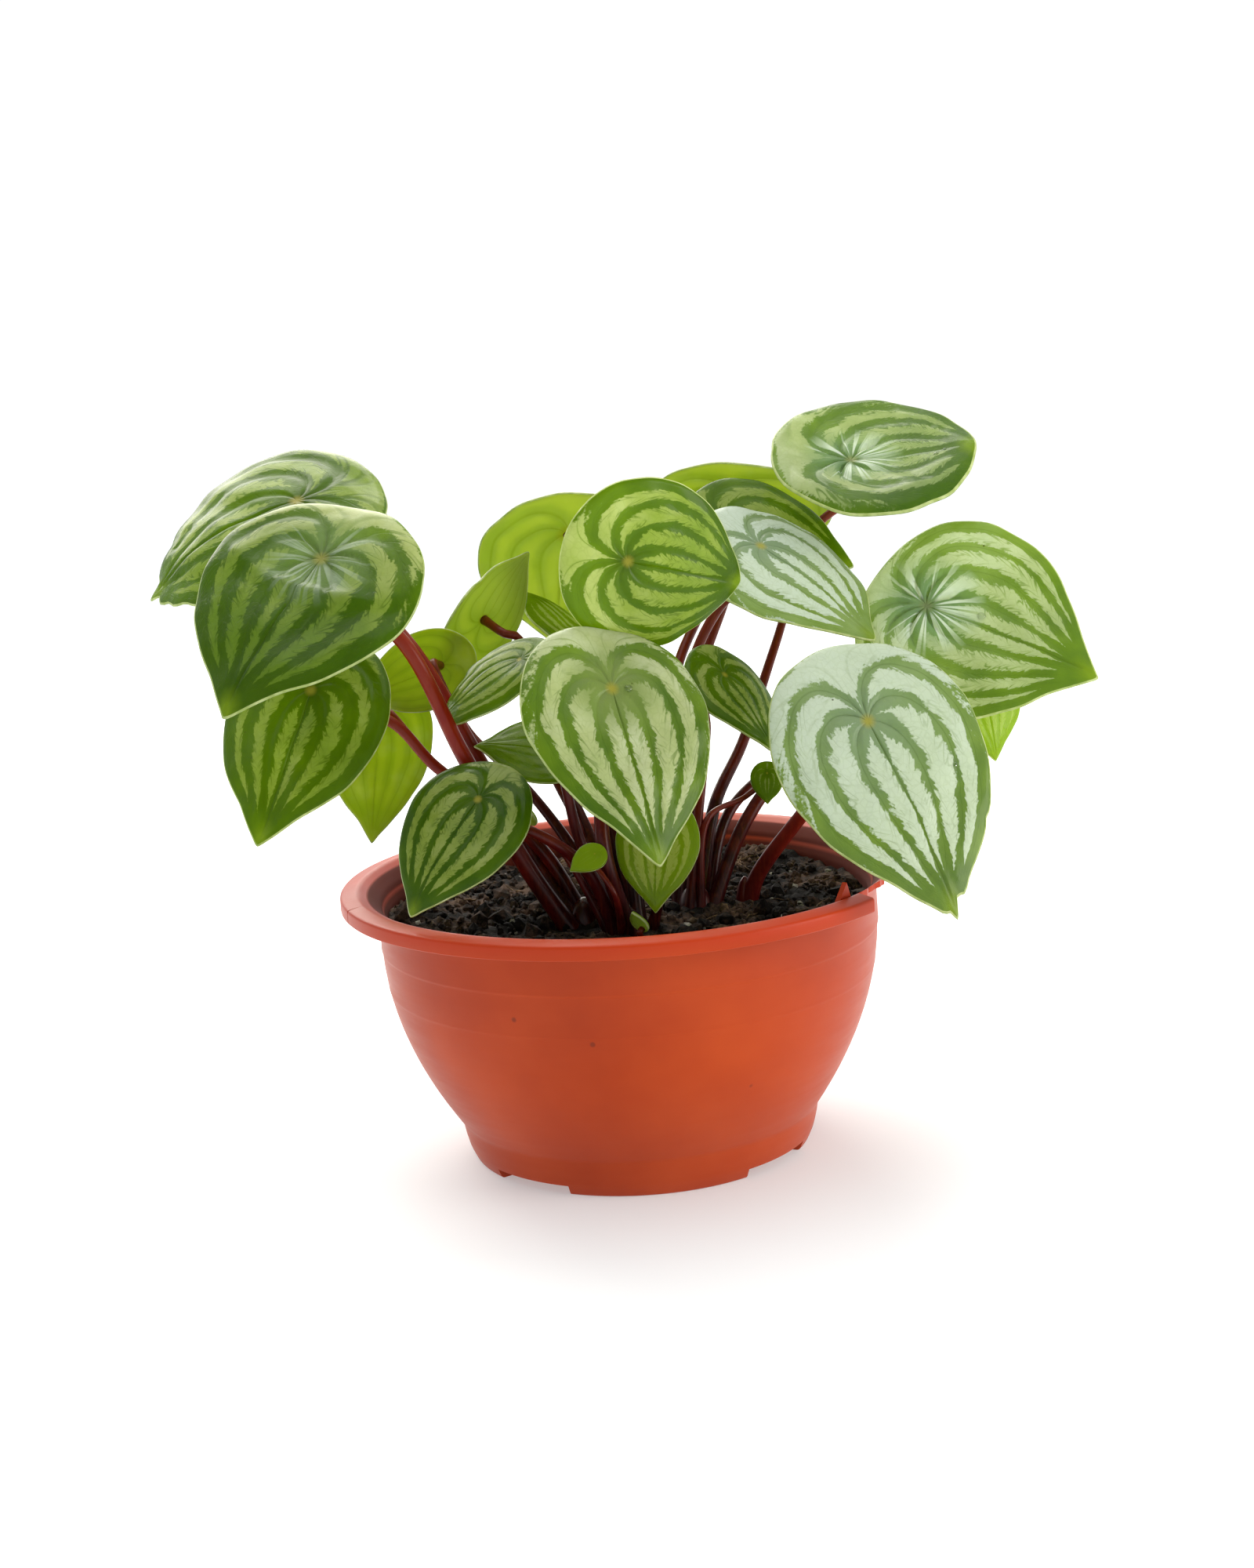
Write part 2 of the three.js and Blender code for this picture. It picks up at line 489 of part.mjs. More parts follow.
// A tube of round section along the curve, tapered by drawing each ring of corners in or out.
function stalkGeometry(leaf, extra) {
  const curve = stalkCurve(leaf, extra);
  const steps = Math.max(4, Math.round(curve.getLength() / STALK_STEP));
  const corners = [];
  for (let i = 0; i < STALK_SIDES; i += 1) {
    const angle = (2 * Math.PI * i) / STALK_SIDES;
    corners.push(new THREE.Vector2(Math.cos(angle), Math.sin(angle)));
  }
  const section = new THREE.Shape(corners);
  const tube = new THREE.ExtrudeGeometry(section, { steps, extrudePath: curve, bevelEnabled: false });
  const centres = curve.getSpacedPoints(steps);
  const place = tube.getAttribute('position');
  const corner = new THREE.Vector3();
  for (let i = 0; i < place.count; i += 1) {
    corner.fromBufferAttribute(place, i);
    const distances = centres.map((centre) => centre.distanceTo(corner));
    const step = distances.indexOf(Math.min(...distances));
    const share = Math.min(1, (1.6 * step) / steps);
    const radius = THREE.MathUtils.lerp(leaf.thick[0], leaf.thick[1], share) + extra;
    corner.sub(centres[step]).multiplyScalar(radius).add(centres[step]);
    place.setXYZ(i, corner.x, corner.y, corner.z);
  }
  return tube;
}

function crownGeometry(shoot, extra) {
  const radius = shoot.radius + extra;
  const low = CROWN_LOW - extra;
  const profile = [
    [0, low], [radius * 0.55, low], [radius * 0.8, CROWN_LOW + 4],
    [radius, ROOT_LEVEL], [radius * 0.75, CROWN_TOP - 1.5], [0, CROWN_TOP + extra],
  ];
  const points = profile.map(([across, height]) => new THREE.Vector2(across, height));
  const crown = new THREE.LatheGeometry(points, 12).rotateX(Math.PI / 2);
  return crown.translate(shoot.x, shoot.y, 0);
}

// A whole shoot, crown and stalks grown together. extra makes it thicker all round, for its hole.
function shootSolid(name, extra) {
  const parts = [toSolid(crownGeometry(SHOOTS[name], extra))];
  for (const leaf of leaves.filter((each) => each.shoot === name)) {
    parts.push(toSolid(stalkGeometry(leaf, extra)));
  }
  return parts.reduce((sum, part) => sum.add(part));
}

const leaves = LEAVES.map((leaf) => ({ ...TYPICAL_LEAF, ...leaf }));
const plant = new THREE.Group();
plant.name = 'potted_peperomia';

plant.add(makeMesh('pot', toGeometry(potSolid()), 0xb84a22, 0.42));

const shootNames = Object.keys(SHOOTS);
const widerShoots = shootNames.map((name) => shootSolid(name, HOLE_CLEARANCE));
const holes = widerShoots.reduce((sum, part) => sum.add(part));
plant.add(makeMesh('soil', toGeometry(soilSolid(holes)), 0x2b211c, 0.95));

for (const name of shootNames) {
  plant.add(makeMesh(name, toGeometry(shootSolid(name, 0)), SHOOTS[name].colour, 0.5));
}

leaves.forEach((leaf, i) => {
  plant.add(makeMesh(leaf.name, bladeGeometry(leaf, i), leaf.colour, 0.45));
});

export default plant;
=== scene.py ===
import math
from functools import partial
from itertools import combinations

import bpy
import numpy as np
from mathutils import Matrix, Vector


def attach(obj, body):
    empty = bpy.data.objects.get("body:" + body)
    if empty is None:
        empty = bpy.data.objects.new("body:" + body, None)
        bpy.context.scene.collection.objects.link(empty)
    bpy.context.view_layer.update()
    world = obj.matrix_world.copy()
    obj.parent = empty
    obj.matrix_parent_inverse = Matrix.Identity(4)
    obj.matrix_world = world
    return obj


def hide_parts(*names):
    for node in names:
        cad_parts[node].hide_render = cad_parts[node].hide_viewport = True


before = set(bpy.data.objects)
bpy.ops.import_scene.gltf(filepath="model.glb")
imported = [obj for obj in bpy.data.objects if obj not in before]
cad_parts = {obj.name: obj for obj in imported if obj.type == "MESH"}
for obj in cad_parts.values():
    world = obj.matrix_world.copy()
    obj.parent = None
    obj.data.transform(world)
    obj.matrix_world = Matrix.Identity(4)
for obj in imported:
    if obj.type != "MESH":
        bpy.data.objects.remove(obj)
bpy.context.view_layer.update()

MM = 0.001

# The pot, as in the construction model.
RIM_RADIUS = 90
RIM_HEIGHT = 87.4
LIP_RADIUS = 85
LIP_HEIGHT = 88.4
SKIRT_LOW = 83
SKIRT_THICK = 1.8
BELLY_RADIUS = 78.2
BELLY_HEIGHT = 72
NECK_HEIGHT = 82
FOOT_RADIUS = 53.7
FOOT_WIDTH = 4
ANKLE_RADIUS = 57.2
ANKLE_HEIGHT = 12
WALL_ACROSS = 2.6
FLOOR_UNDER = 3.5
FLOOR_TOP = 6.5
NOTCH_COUNT = 4
NOTCH_FIRST = -40
NOTCH_SPAN = 30
NOTCH_HEIGHT = 3.2
DRAIN_RADIUS = 4
DRAIN_CIRCLE = 30
BREAK_FROM = -37
BREAK_TO = -11
BREAK_RADIUS = 82.8
TAB_HEADING = -41
TAB_RISE = 5
TAB_THICK = 1.6
CRACK_HEADING = -161
CRACK_WIDTH = 0.9

# The pot's finer shape, which only the scene has: its rounded corners, and two moulded lines under
# the rim, each where the wall steps out by the second number.
CORNER_ROUND = 0.9
LOWER_LINE = (56, 0.12)
UPPER_LINE = (69, 0.25)

# The soil, as in the construction model. A bank is its place, its height and its spread.
SOIL_LEVEL = 77
SOIL_BANKS = [(-66, -4, 3, 18), (46, 56, 3.2, 15)]
SOIL_RIPPLE = 0.7
SOIL_CLEARANCE = 0.35

# The lumps of the soil's top, by size, and what lies loose on it, out to a radius from the middle.
LUMP_SIZES = (7.0, 4.0, 2.4, 1.4)
LUMP_STEEPNESS = 0.035
LITTER_REACH = 73
FIBRE_START = 70
FIBRE_REACH = 74
FIBRE_COUNT = 120

# The shoots: where each crown stands in the soil and its radius, then its skin and the colours of its
# stalks from the root up.
ROOT_LEVEL = 74
CROWN_FOOT = 62
CROWN_TOP = 84.4
CROWN_MIDDLE = 73
CROWN_HALF_HEIGHT = 11.5
SHOOTS = {
    "shoot_left": ((-13.5, -18.5, 6.5), "stalk_skin_red", ("#2a0506", "#7a1404", "#8a300c")),
    "shoot_centre": ((0.5, -32, 7), "stalk_skin_wine", ("#200306", "#4c090a", "#64220e")),
    "shoot_right": ((21, -8.5, 6.5), "stalk_skin_brown", ("#2a0507", "#62140a", "#743018")),
    "shoot_far_right": ((37, -4, 3.6), "stalk_skin_rose", ("#4a0e0e", "#741e14", "#844028")),
}

# Dew: the leaf, where on it along and across the midrib, and the drop's radius.
DEW = [
    ("leaf_right_large", 17, 3, 1.3),
    ("leaf_centre_front", 0.5, 5, 1.2),
    ("leaf_top_saucer", 27, -3, 0.9),
    ("leaf_top_saucer", 30, -1, 0.7),
    ("leaf_top_saucer", -5, 7, 0.8),
    ("leaf_right_front", 22, 18, 0.7),
]
DROP_FLATNESS = 0.55
DROP_SEAT = 0.35

# The main veins leave the stalk at these angles from the midrib, and the silver lies between them.
BROAD_VEINS = (0, 82, 138, 166)
CLOSE_VEINS = (0, 70, 122, 154, 172)

# A full-grown blade is this wide. Its folds and swellings are drawn in proportion on the others.
FULL_WIDTH = 60
# How far out from the stalk each ring of points lies, as a share of the way. The last steps between
# rings are the clear margin.
RING_SHARES = np.concatenate([np.linspace(0, 0.94, 22)[1:], [0.965, 0.988, 0.995, 1.0]])
MARGIN_STEPS = 2

# The blades, as in the construction model.
BLADE_THICK = 0.9
POINT_SPREAD = 0.36
CUP_SPREAD = 0.45
TYPICAL_LEAF = dict(
    attach=0.3, droop=15, rear_droop=10, cross=8, sweep=0, shoulder=0.4, point=0.08, cup=1.2, wave=0.5,
    straight=12, sides=104, shade=0.5, youth_and_glow=0.0, silver=1.0, painted_blue_sheen=0.0, star_glints=0.0, calm=0.0, painted_rear_sheen=0.0,
    crease=0.5, ridge=0.0, furrow=0.0, brim=0.0, curl=0.5, nicks=(), veins=BROAD_VEINS)

# For each leaf: its node, where the stalk meets the blade, heading, pitch and roll in degrees, length
# and width, then what differs from a typical leaf, and the shoot that it grows from, the stalk's root,
# its radius at both ends and its route.
# attach is how far along the blade from its rear, as a share of its length, the stalk joins it.
# droop, rear_droop and cross are how far the blade bends down before the stalk, behind it and to
# either side, in degrees. sweep bends the midrib sideways, shoulder draws the blade in towards its
# tip, point is the share of its length that the tip adds, cup how far the blade rises away from the
# stalk and wave how far its margin waves. straight is the length of the stalk's straight end, and
# sides the number of points round the margin.
# shade runs from deep to light green, youth_and_glow towards yellow, silver is the strength of the bands,
# painted_blue_sheen a painted bluish sheen of reflected sky, star_glints a burst of painted highlights on
# the folds round the stalk, on bluish green, and calm a plain grey patch there. On young blades
# youth_and_glow is their own colour, and on the undersides of some older ones it is a painted glow of light
# coming through.
# painted_rear_sheen is a painted sheen of reflected light: it makes the rear of a blade paler and its tip
# deeper.
# crease is the depth of the folds round the stalk, ridge the height of a crest across the blade in
# front of it, furrow the depth of a trough along the midrib, brim how far the near margin is turned
# down and curl how far the whole margin is.
# nicks are small losses from the margin: heading from the tip in degrees, depth as a share of the
# reach there, and width in degrees.
LEAVES = [
    dict(node="leaf_left_front", at=(-83, -35, 194), turn=(-132, -40, -22), length=81, width=70,
         rear_droop=25, cross=15, cup=2.2, shade=0.22, silver=0.75, star_glints=0.3, calm=0.6, painted_rear_sheen=0.45,
         crease=1.0, ridge=2.2,
         shoot="shoot_left", root=(-17, -24), thick=(3, 2.2),
         via=[(-31, -24, 98), (-47, -26, 133), (-62, -28, 168)]),
    dict(node="leaf_left_back", at=(-96, 20, 208), turn=(-172, -12, -30), length=86, width=71, attach=0.33,
         droop=45, rear_droop=25, cross=15, shoulder=0.3, point=0.02, shade=0.25, silver=0.7,
         nicks=((9, 0.05, 6), (-14, 0.04, 5), (25, 0.03, 5), (40, 0.03, 6), (-38, 0.03, 4)),
         shoot="shoot_left", root=(-15, -20), thick=(2.8, 2.1),
         via=[(-28, -12, 96), (-44, -8, 129), (-61, -3, 162)]),
    dict(node="leaf_left_lower", at=(-92, -15, 153), turn=(-118, -50, -18), length=75, width=52, droop=5,
         cross=20, shade=0.18, silver=0.8, furrow=1.3,
         shoot="shoot_left", root=(-12, -16), thick=(2.4, 1.7),
         via=[(-27, -14, 101), (-57, -6, 126), (-70, -6, 141)]),
    dict(node="leaf_left_hanging", at=(-77, 32, 136), turn=(-105, -65, 150), length=60, width=36, droop=10,
         cross=10, shade=0.6, silver=0.6,
         shoot="shoot_left", root=(-10, -14), thick=(2, 1.4), via=[(-38, 2, 108), (-57, 12, 121)]),
    dict(node="leaf_folded_upper", at=(-41, 34, 166), turn=(15, 48, -60), length=46, width=30, attach=0.42,
         droop=-8, rear_droop=8, cross=20, shade=0.6, youth_and_glow=0.29, silver=0.6,
         nicks=((150, 0.06, 6), (-70, 0.04, 5)),
         shoot="shoot_centre", root=(-2, -30), thick=(2.2, 1.4),
         via=[(-11, -20, 105), (-22, 2, 127), (-28, 20, 144), (-30, 29, 160)]),
    dict(node="leaf_folded_lower", at=(-55, 18, 154), turn=(178, -20, 100), length=40, width=27, droop=20,
         cross=30, shade=0.6, silver=0.6,
         shoot="shoot_centre", root=(-4, -29), thick=(2, 1.3),
         via=[(-15, -18, 98), (-31, -4, 119), (-47, 9, 134)]),
    dict(node="leaf_small_torn", at=(-28, -20, 159), turn=(179, -25, -30), length=42, width=26, attach=0.26,
         droop=25, cross=15, shoulder=0.2, point=0, cup=0.8, shade=0.42, youth_and_glow=0.15, silver=0.7,
         nicks=((-58, 0.09, 8), (-84, 0.06, 6), (22, 0.05, 6)),
         shoot="shoot_centre", root=(0, -32), thick=(2, 1.4), via=[(-13, -32, 104), (-18, -33, 133)]),
    dict(node="leaf_back_left", at=(-12, 58, 190), turn=(105, -45, 0), length=70, width=62, droop=25,
         cross=10, cup=2, shade=0.6, youth_and_glow=0.3, silver=0.6,
         shoot="shoot_centre", root=(2, -28), thick=(2.3, 1.8),
         via=[(-4, -10, 113), (0, 14, 151), (-5, 40, 177)]),
    dict(node="leaf_centre_upper", at=(6, -32, 188), turn=(20, -16, 98), length=60, width=52, attach=0.34,
         droop=22, rear_droop=15, cross=10, shoulder=0.25, point=0.03, shade=0.3, silver=0.9, painted_rear_sheen=0.2,
         veins=CLOSE_VEINS,
         shoot="shoot_centre", root=(3, -34), thick=(2.4, 1.8),
         via=[(2, -22, 120), (10, -2, 152), (10, 2, 174)]),
    dict(node="leaf_small_behind", at=(-10, 48, 156), turn=(140, 32, 10), length=40, width=34, droop=5,
         cross=10, shade=0.6, silver=0.5,
         shoot="shoot_centre", root=(1, -27), thick=(2, 1.4), via=[(-7, -4, 114), (-6, 28, 142)]),
    dict(node="leaf_centre_front", at=(-1, -50, 153), turn=(-70, -57, -5), length=78, width=58, droop=12,
         rear_droop=30, cross=10, sweep=0.1, cup=1.6, shade=0.55, silver=1.05, painted_blue_sheen=0.15, calm=1.0,
         painted_rear_sheen=0.1,
         shoot="shoot_centre", root=(1, -37), thick=(2.6, 2), via=[(-6, -42, 103), (-6, -34, 127)]),
    dict(node="leaf_centre_right", at=(48, 9, 186), turn=(-32, -34, 16), length=68, width=54, droop=10,
         cross=20, shade=0.85, silver=1.25, painted_blue_sheen=1.0,
         shoot="shoot_right", root=(18, -8), thick=(2.2, 1.6),
         via=[(22, -2, 115), (24, 14, 147), (34, 19, 166)]),
    dict(node="leaf_back_centre", at=(44, 64, 199), turn=(75, -46, 0), length=54, width=66, droop=20,
         cross=10, shade=0.6, youth_and_glow=0.15, silver=0.6,
         shoot="shoot_right", root=(16, -6), thick=(2.2, 1.6),
         via=[(17, 4, 114), (20, 24, 146), (32, 42, 168)]),
    dict(node="leaf_back_right", at=(41.5, 33, 191.5), turn=(-14, -20, 50), length=58, width=42, droop=10,
         cross=20, shade=0.3, silver=0.7,
         shoot="shoot_right", root=(20, -4), thick=(2, 1.5),
         via=[(22, 10, 115), (28, 24, 146), (38, 32, 170)]),
    dict(node="leaf_top_saucer", at=(80, 33, 209), turn=(-5, -2, 28), length=66, width=64, attach=0.4,
         droop=-10, rear_droop=-20, cross=-8, shoulder=0.06, point=0, cup=2, shade=0.38, silver=0.7,
         painted_blue_sheen=0.2, star_glints=0.8, calm=0.4, painted_rear_sheen=0.2, crease=2.0, brim=3.5,
         shoot="shoot_right", root=(22, -8), thick=(2.4, 1.4),
         via=[(29, 6, 105), (40, 20, 123), (53, 34, 152), (68, 41, 188)]),
    dict(node="leaf_right_large", at=(99, 8, 164), turn=(-25, -21, 52), length=77, width=70, attach=0.26,
         droop=10, cross=5, cup=2.2, shade=0.76, silver=0.85, painted_blue_sheen=0.35, star_glints=1.0, painted_rear_sheen=0.35, crease=2.0,
         veins=CLOSE_VEINS,
         shoot="shoot_right", root=(25, -10), thick=(2.4, 1.7),
         via=[(39, 0, 102), (63, 14, 127), (87, 20, 150)]),
    dict(node="leaf_right_front", at=(73, -45, 138), turn=(-48, -55, 25), length=91, width=65, droop=10,
         rear_droop=25, cross=10, sweep=-0.1, cup=2, shade=0.7, silver=1.25, painted_blue_sheen=0.9, painted_rear_sheen=0.15,
         crease=0.8, nicks=((11, 0.06, 5), (-7, 0.03, 4), (52, 0.02, 3)),
         shoot="shoot_far_right", root=(37, -4), thick=(2.6, 2),
         via=[(41, -6, 85), (55, -14, 105), (67, -28, 124)]),
    dict(node="leaf_right_inner", at=(34, -2, 148), turn=(-45, -47, 0), length=41, width=32, droop=10,
         cross=20, shade=0.4, silver=0.7,
         shoot="shoot_right", root=(19, -12), thick=(2, 1.4), via=[(23, -8, 103), (28, 4, 131)]),
    dict(node="leaf_front_left", at=(-42, -45, 122), turn=(-140, -42, -28), length=55, width=38,
         attach=0.27, droop=20, rear_droop=30, cross=15, shade=0.3, silver=0.85,
         shoot="shoot_centre", root=(-3, -36), thick=(2.4, 1.6), via=[(-12, -38, 98), (-28, -40, 111)]),
    dict(node="leaf_front_young", at=(10, -38, 108), turn=(-105, -65, 0), length=35, width=26, droop=10,
         cross=10, cup=0.5, straight=6, shade=0.45, youth_and_glow=0.85, silver=0.8,
         shoot="shoot_centre", root=(6, -33), thick=(1.8, 1.2), via=[(12, -34, 97)]),
    dict(node="leaf_small_inner", at=(-20, -16, 130), turn=(-172, 10, -35), length=34, width=28, droop=10,
         cross=10, straight=6, youth_and_glow=0.25, silver=0.15,
         shoot="shoot_centre", root=(-2, -27), thick=(1.8, 1.2), via=[(-14, -20, 108)]),
    dict(node="leaf_right_small", at=(119, 35, 137), turn=(-60, -70, 10), length=40, width=30, cup=0.6,
         straight=8, shade=0.7, youth_and_glow=0.8, silver=0.3,
         shoot="shoot_right", root=(24, -6), thick=(2, 1.4),
         via=[(35, 10, 104), (70, 30, 122), (102, 42, 131)]),
    dict(node="leaf_tiny_curled", at=(46, 0, 116), turn=(-100, -60, 0), length=14, width=11, cup=0.3,
         wave=0.2, straight=4, sides=48, silver=0.4, crease=0.1,
         shoot="shoot_right", root=(22, -13), thick=(1.6, 0.9), via=[(26, -8, 104), (39, 5, 108)]),
    dict(node="leaf_bud_front", at=(-9, -47, 104), turn=(-150, -20, -45), length=13, width=9, cup=0.2,
         wave=0.1, straight=4, sides=48, shade=0.6, youth_and_glow=1.0, silver=0.1, crease=0.1,
         shoot="shoot_centre", root=(-2, -37), thick=(1.5, 0.8), via=[(-4, -47, 92)]),
    dict(node="leaf_bud_left", at=(-29, -29, 114), turn=(-120, 50, -20), length=16, width=10, cup=0.2,
         wave=0.1, straight=3, sides=48, shade=0.7, youth_and_glow=1.0, silver=0.0, crease=0.1,
         shoot="shoot_centre", root=(-5, -33), thick=(1.6, 0.8), via=[(-20, -30, 103)]),
    dict(node="leaf_sprout", at=(4, -43, 80), turn=(-130, 60, 0), length=9, width=6, attach=0.15, cup=0,
         wave=0, straight=2, sides=48, shade=0.6, youth_and_glow=0.8, silver=0.0, crease=0.0,
         shoot="shoot_centre", root=(2, -37), thick=(1.2, 0.8), via=[(3.5, -41, 76)]),
]

GREEN_BANDS = [(0.0, "#183c00"), (0.25, "#2c5000"), (0.5, "#4e6e04"), (0.75, "#729018"), (1.0, "#90aa5c")]
SILVER_BANDS = [(0.0, "#6c8832"), (0.25, "#8ea04a"), (0.5, "#b4be7e"), (0.75, "#ced6b0"), (1.0, "#dee8d4")]


def linear(colour):
    """The linear RGBA of an sRGB hex colour such as "#b8451f"."""
    channels = [int(colour[i:i + 2], 16) / 255 for i in (1, 3, 5)]
    return tuple(c / 12.92 if c <= 0.04045 else ((c + 0.055) / 1.055) ** 2.4 for c in channels) + (1.0,)


def add_node(tree, kind, *inputs, output=0, stops=(), **settings):
    """Adds a shader node with its settings and gives one of its outputs. The inputs are numbers, hex
    colours or other nodes' outputs, in the order of the sockets or in one dict by name or number.
    A Map Range takes a value, the range that it comes in and the range that it goes out in. A colour Mix
    takes its factor as socket 0 and its colours as 6 and 7, and gives output 2."""
    node = tree.nodes.new("ShaderNode" + kind)
    for name, value in settings.items():
        setattr(node, name, value)
    by_socket = inputs[0] if inputs and isinstance(inputs[0], dict) else dict(enumerate(inputs))
    for socket, value in by_socket.items():
        if isinstance(value, bpy.types.NodeSocket):
            tree.links.new(value, node.inputs[socket])
        else:
            node.inputs[socket].default_value = linear(value) if isinstance(value, str) else value
    if stops:
        ramp = node.color_ramp.elements
        while len(ramp) < len(stops):
            ramp.new(0.5)
        for element, (position, colour) in zip(ramp, stops):
            element.position = position
            element.color = linear(colour)
    return node.outputs[output]


def new_material(name, surface, *colours):
    """A material whose nodes are added by a function for its surface, in the colours given."""
    material = bpy.data.materials.new(name)
    material.use_nodes = True
    tree = material.node_tree
    tree.nodes.clear()
    end = tree.nodes.new("ShaderNodeOutputMaterial")
    tree.links.new(surface(partial(add_node, tree), *colours), end.inputs["Surface"])
    return material


def few_spots(add, place, scale, rarity, edge):
    """Small round spots in a few cells of a pattern: those whose random number passes the rarity. The
    edge is the range of radii that it fades over and the strengths at both ends."""
    cells = add("TexVoronoi", {"Vector": place, "Scale": scale})
    chosen = add("SeparateColor", cells.node.outputs["Color"])
    chosen = add("Math", chosen, rarity, operation="GREATER_THAN")
    return add("Math", add("MapRange", cells, *edge), chosen, operation="MULTIPLY")


# Patterns on the blades are scaled per millimetre, and those on other pieces per metre: a Scale of 0.4
# on a blade, or 400 elsewhere, makes cells 2.5 mm across.


def nearest_vein(add, band):
    """The nearest main vein's number, the way to it and the distance: 0.5 is midway to the next."""
    nearest = add("Math", band, operation="ROUND")
    offset = add("Math", band, nearest, operation="SUBTRACT")
    return nearest, offset, add("Math", offset, operation="ABSOLUTE")


def silver_bands(add, band, run, reach, silvering, place):
    """How silver the blade is, between its main veins, and the fine cracks across the silver."""
    margin = add("Attribute", output="Fac", attribute_name="margin")
    leaf_number = add("SeparateXYZ", place, output=2)
    nearest, offset, off_vein = nearest_vein(add, band)
    # Side veins run forward out of each main vein, notch the silver and crack it across.
    forward = add("Math", off_vein, -1.1, run, operation="MULTIPLY_ADD")
    side = add("Math", offset, operation="SIGN")
    row = add("Math", nearest, 7.3, leaf_number, operation="MULTIPLY_ADD")
    row = add("Math", side, 3.1, row, operation="MULTIPLY_ADD")
    notch_place = add("CombineXYZ", add("Math", forward, 3.6, operation="MULTIPLY"), row)
    notch = add("TexNoise", {"Vector": notch_place, "Scale": 1.0, "Detail": 2.0, "Roughness": 0.6})
    crack_run = add("Math", forward, 3.2, operation="MULTIPLY")
    crack_place = add("CombineXYZ", crack_run, row, add("Math", off_vein, 1.8, operation="MULTIPLY"))
    crack = add("TexNoise", {"Vector": crack_place, "Scale": 1.0, "Detail": 1.0, "Roughness": 0.5})
    crack = add("Math", crack, 0.5, operation="SUBTRACT")
    crack = add("Math", crack, operation="ABSOLUTE")
    crack = add("MapRange", crack, 0.008, 0.04, 1.0, 0.0)
    near_middle = add("MapRange", off_vein, 0.3, 0.5, 1.0, 0.15)
    open_silver = add("MapRange", silvering, 0.7, 1.3, 0.9, 0.25)
    for factor in (near_middle, open_silver):
        crack = add("Math", crack, factor, operation="MULTIPLY")
    # How far from a vein the silver starts: for each cause, its range and what it adds at either end.
    ragged = add("TexNoise", {"Vector": place, "Scale": 0.9, "Detail": 4.0, "Roughness": 0.65})
    drift = add("TexNoise", {"Vector": place, "Scale": 0.06, "Detail": 1.0})
    start = 0.0
    for cause, low, high, at_low, at_high in (
            (silvering, 0.3, 1.3, 0.26, 0.11), (notch, 0.42, 0.74, -0.02, 0.15),
            (ragged, 0.3, 0.7, -0.055, 0.055), (drift, 0.3, 0.7, -0.08, 0.08),
            (reach, 3.5, 13.0, 0.36, 0.0), (margin, 0.6, 3.6, 0.32, 0.0),
            (run, 1.5, 3.4, 0.0, 0.5), (band, 0.4, 0.5, 0.035, 0.0)):
        start = add("Math", add("MapRange", cause, low, high, at_low, at_high), start, operation="ADD")
    past = add("Math", off_vein, start, operation="SUBTRACT")
    silver = add("MapRange", past, -0.03, 0.04, interpolation_type="SMOOTHSTEP")
    uncracked = add("Math", 1.0, crack, operation="SUBTRACT")
    strength = add("Math", silvering, 1.0, operation="MINIMUM")
    for factor in (uncracked, strength):
        silver = add("Math", silver, factor, operation="MULTIPLY")
    return silver, crack


def painted_star_glints(add, place, reach, star_glints):
    """Pale rays round the stalk: painted highlights along the folds of an older blade."""
    way = add("VectorMath", place, (1.0, 1.0, 0.0), operation="MULTIPLY")
    way = add("VectorMath", way, operation="NORMALIZE")
    glint_ray = add("TexNoise", {"Vector": way, "Scale": 5.5, "Detail": 2.0})
    glint_ray = add("MapRange", glint_ray, 0.52, 0.6)
    begin = add("MapRange", reach, 2.0, 4.0)
    end = add("MapRange", reach, 8.0, 16.0, 1.0, 0.0)
    for factor in (begin, end, star_glints):
        glint_ray = add("Math", glint_ray, factor, operation="MULTIPLY")
    return glint_ray


def leaf_tones(add, place, reach, shade, painted_blue_sheen):
    """The green of a blade beside its veins, and the silver between them."""
    # Both run from deep to light, clouded over a centimetre or two, and a painted bluish sheen of reflected
    # sky makes both bluish, the green most near the stalk.
    cloud = add("TexNoise", {"Vector": place, "Scale": 0.07, "Detail": 3.0})
    tone = add("Math", cloud, 0.5, operation="SUBTRACT")
    tone = add("Math", tone, 0.8, shade, operation="MULTIPLY_ADD")
    green = add("ValToRGB", tone, stops=GREEN_BANDS)
    pale = add("ValToRGB", tone, stops=SILVER_BANDS)
    painted_haze = add("Math", painted_blue_sheen, add("MapRange", reach, 6.0, 32.0, 1.0, 0.25), operation="MULTIPLY")
    green = add("Mix", {0: painted_haze, 6: green, 7: "#88a080"}, output=2, data_type="RGBA")
    pale = add("Mix", {0: painted_blue_sheen, 6: pale, 7: "#cddcd4"}, output=2, data_type="RGBA")
    # A fine net of the smallest veins, about 2.4 mm a mesh, darkens the silver a little.
    net = add("TexVoronoi", {"Vector": place, "Scale": 0.42}, feature="DISTANCE_TO_EDGE")
    net = add("MapRange", net, 0.02, 0.1, 0.1, 0.0)
    pale = add("Mix", {0: net, 6: pale, 7: green}, output=2, data_type="RGBA")
    return green, pale


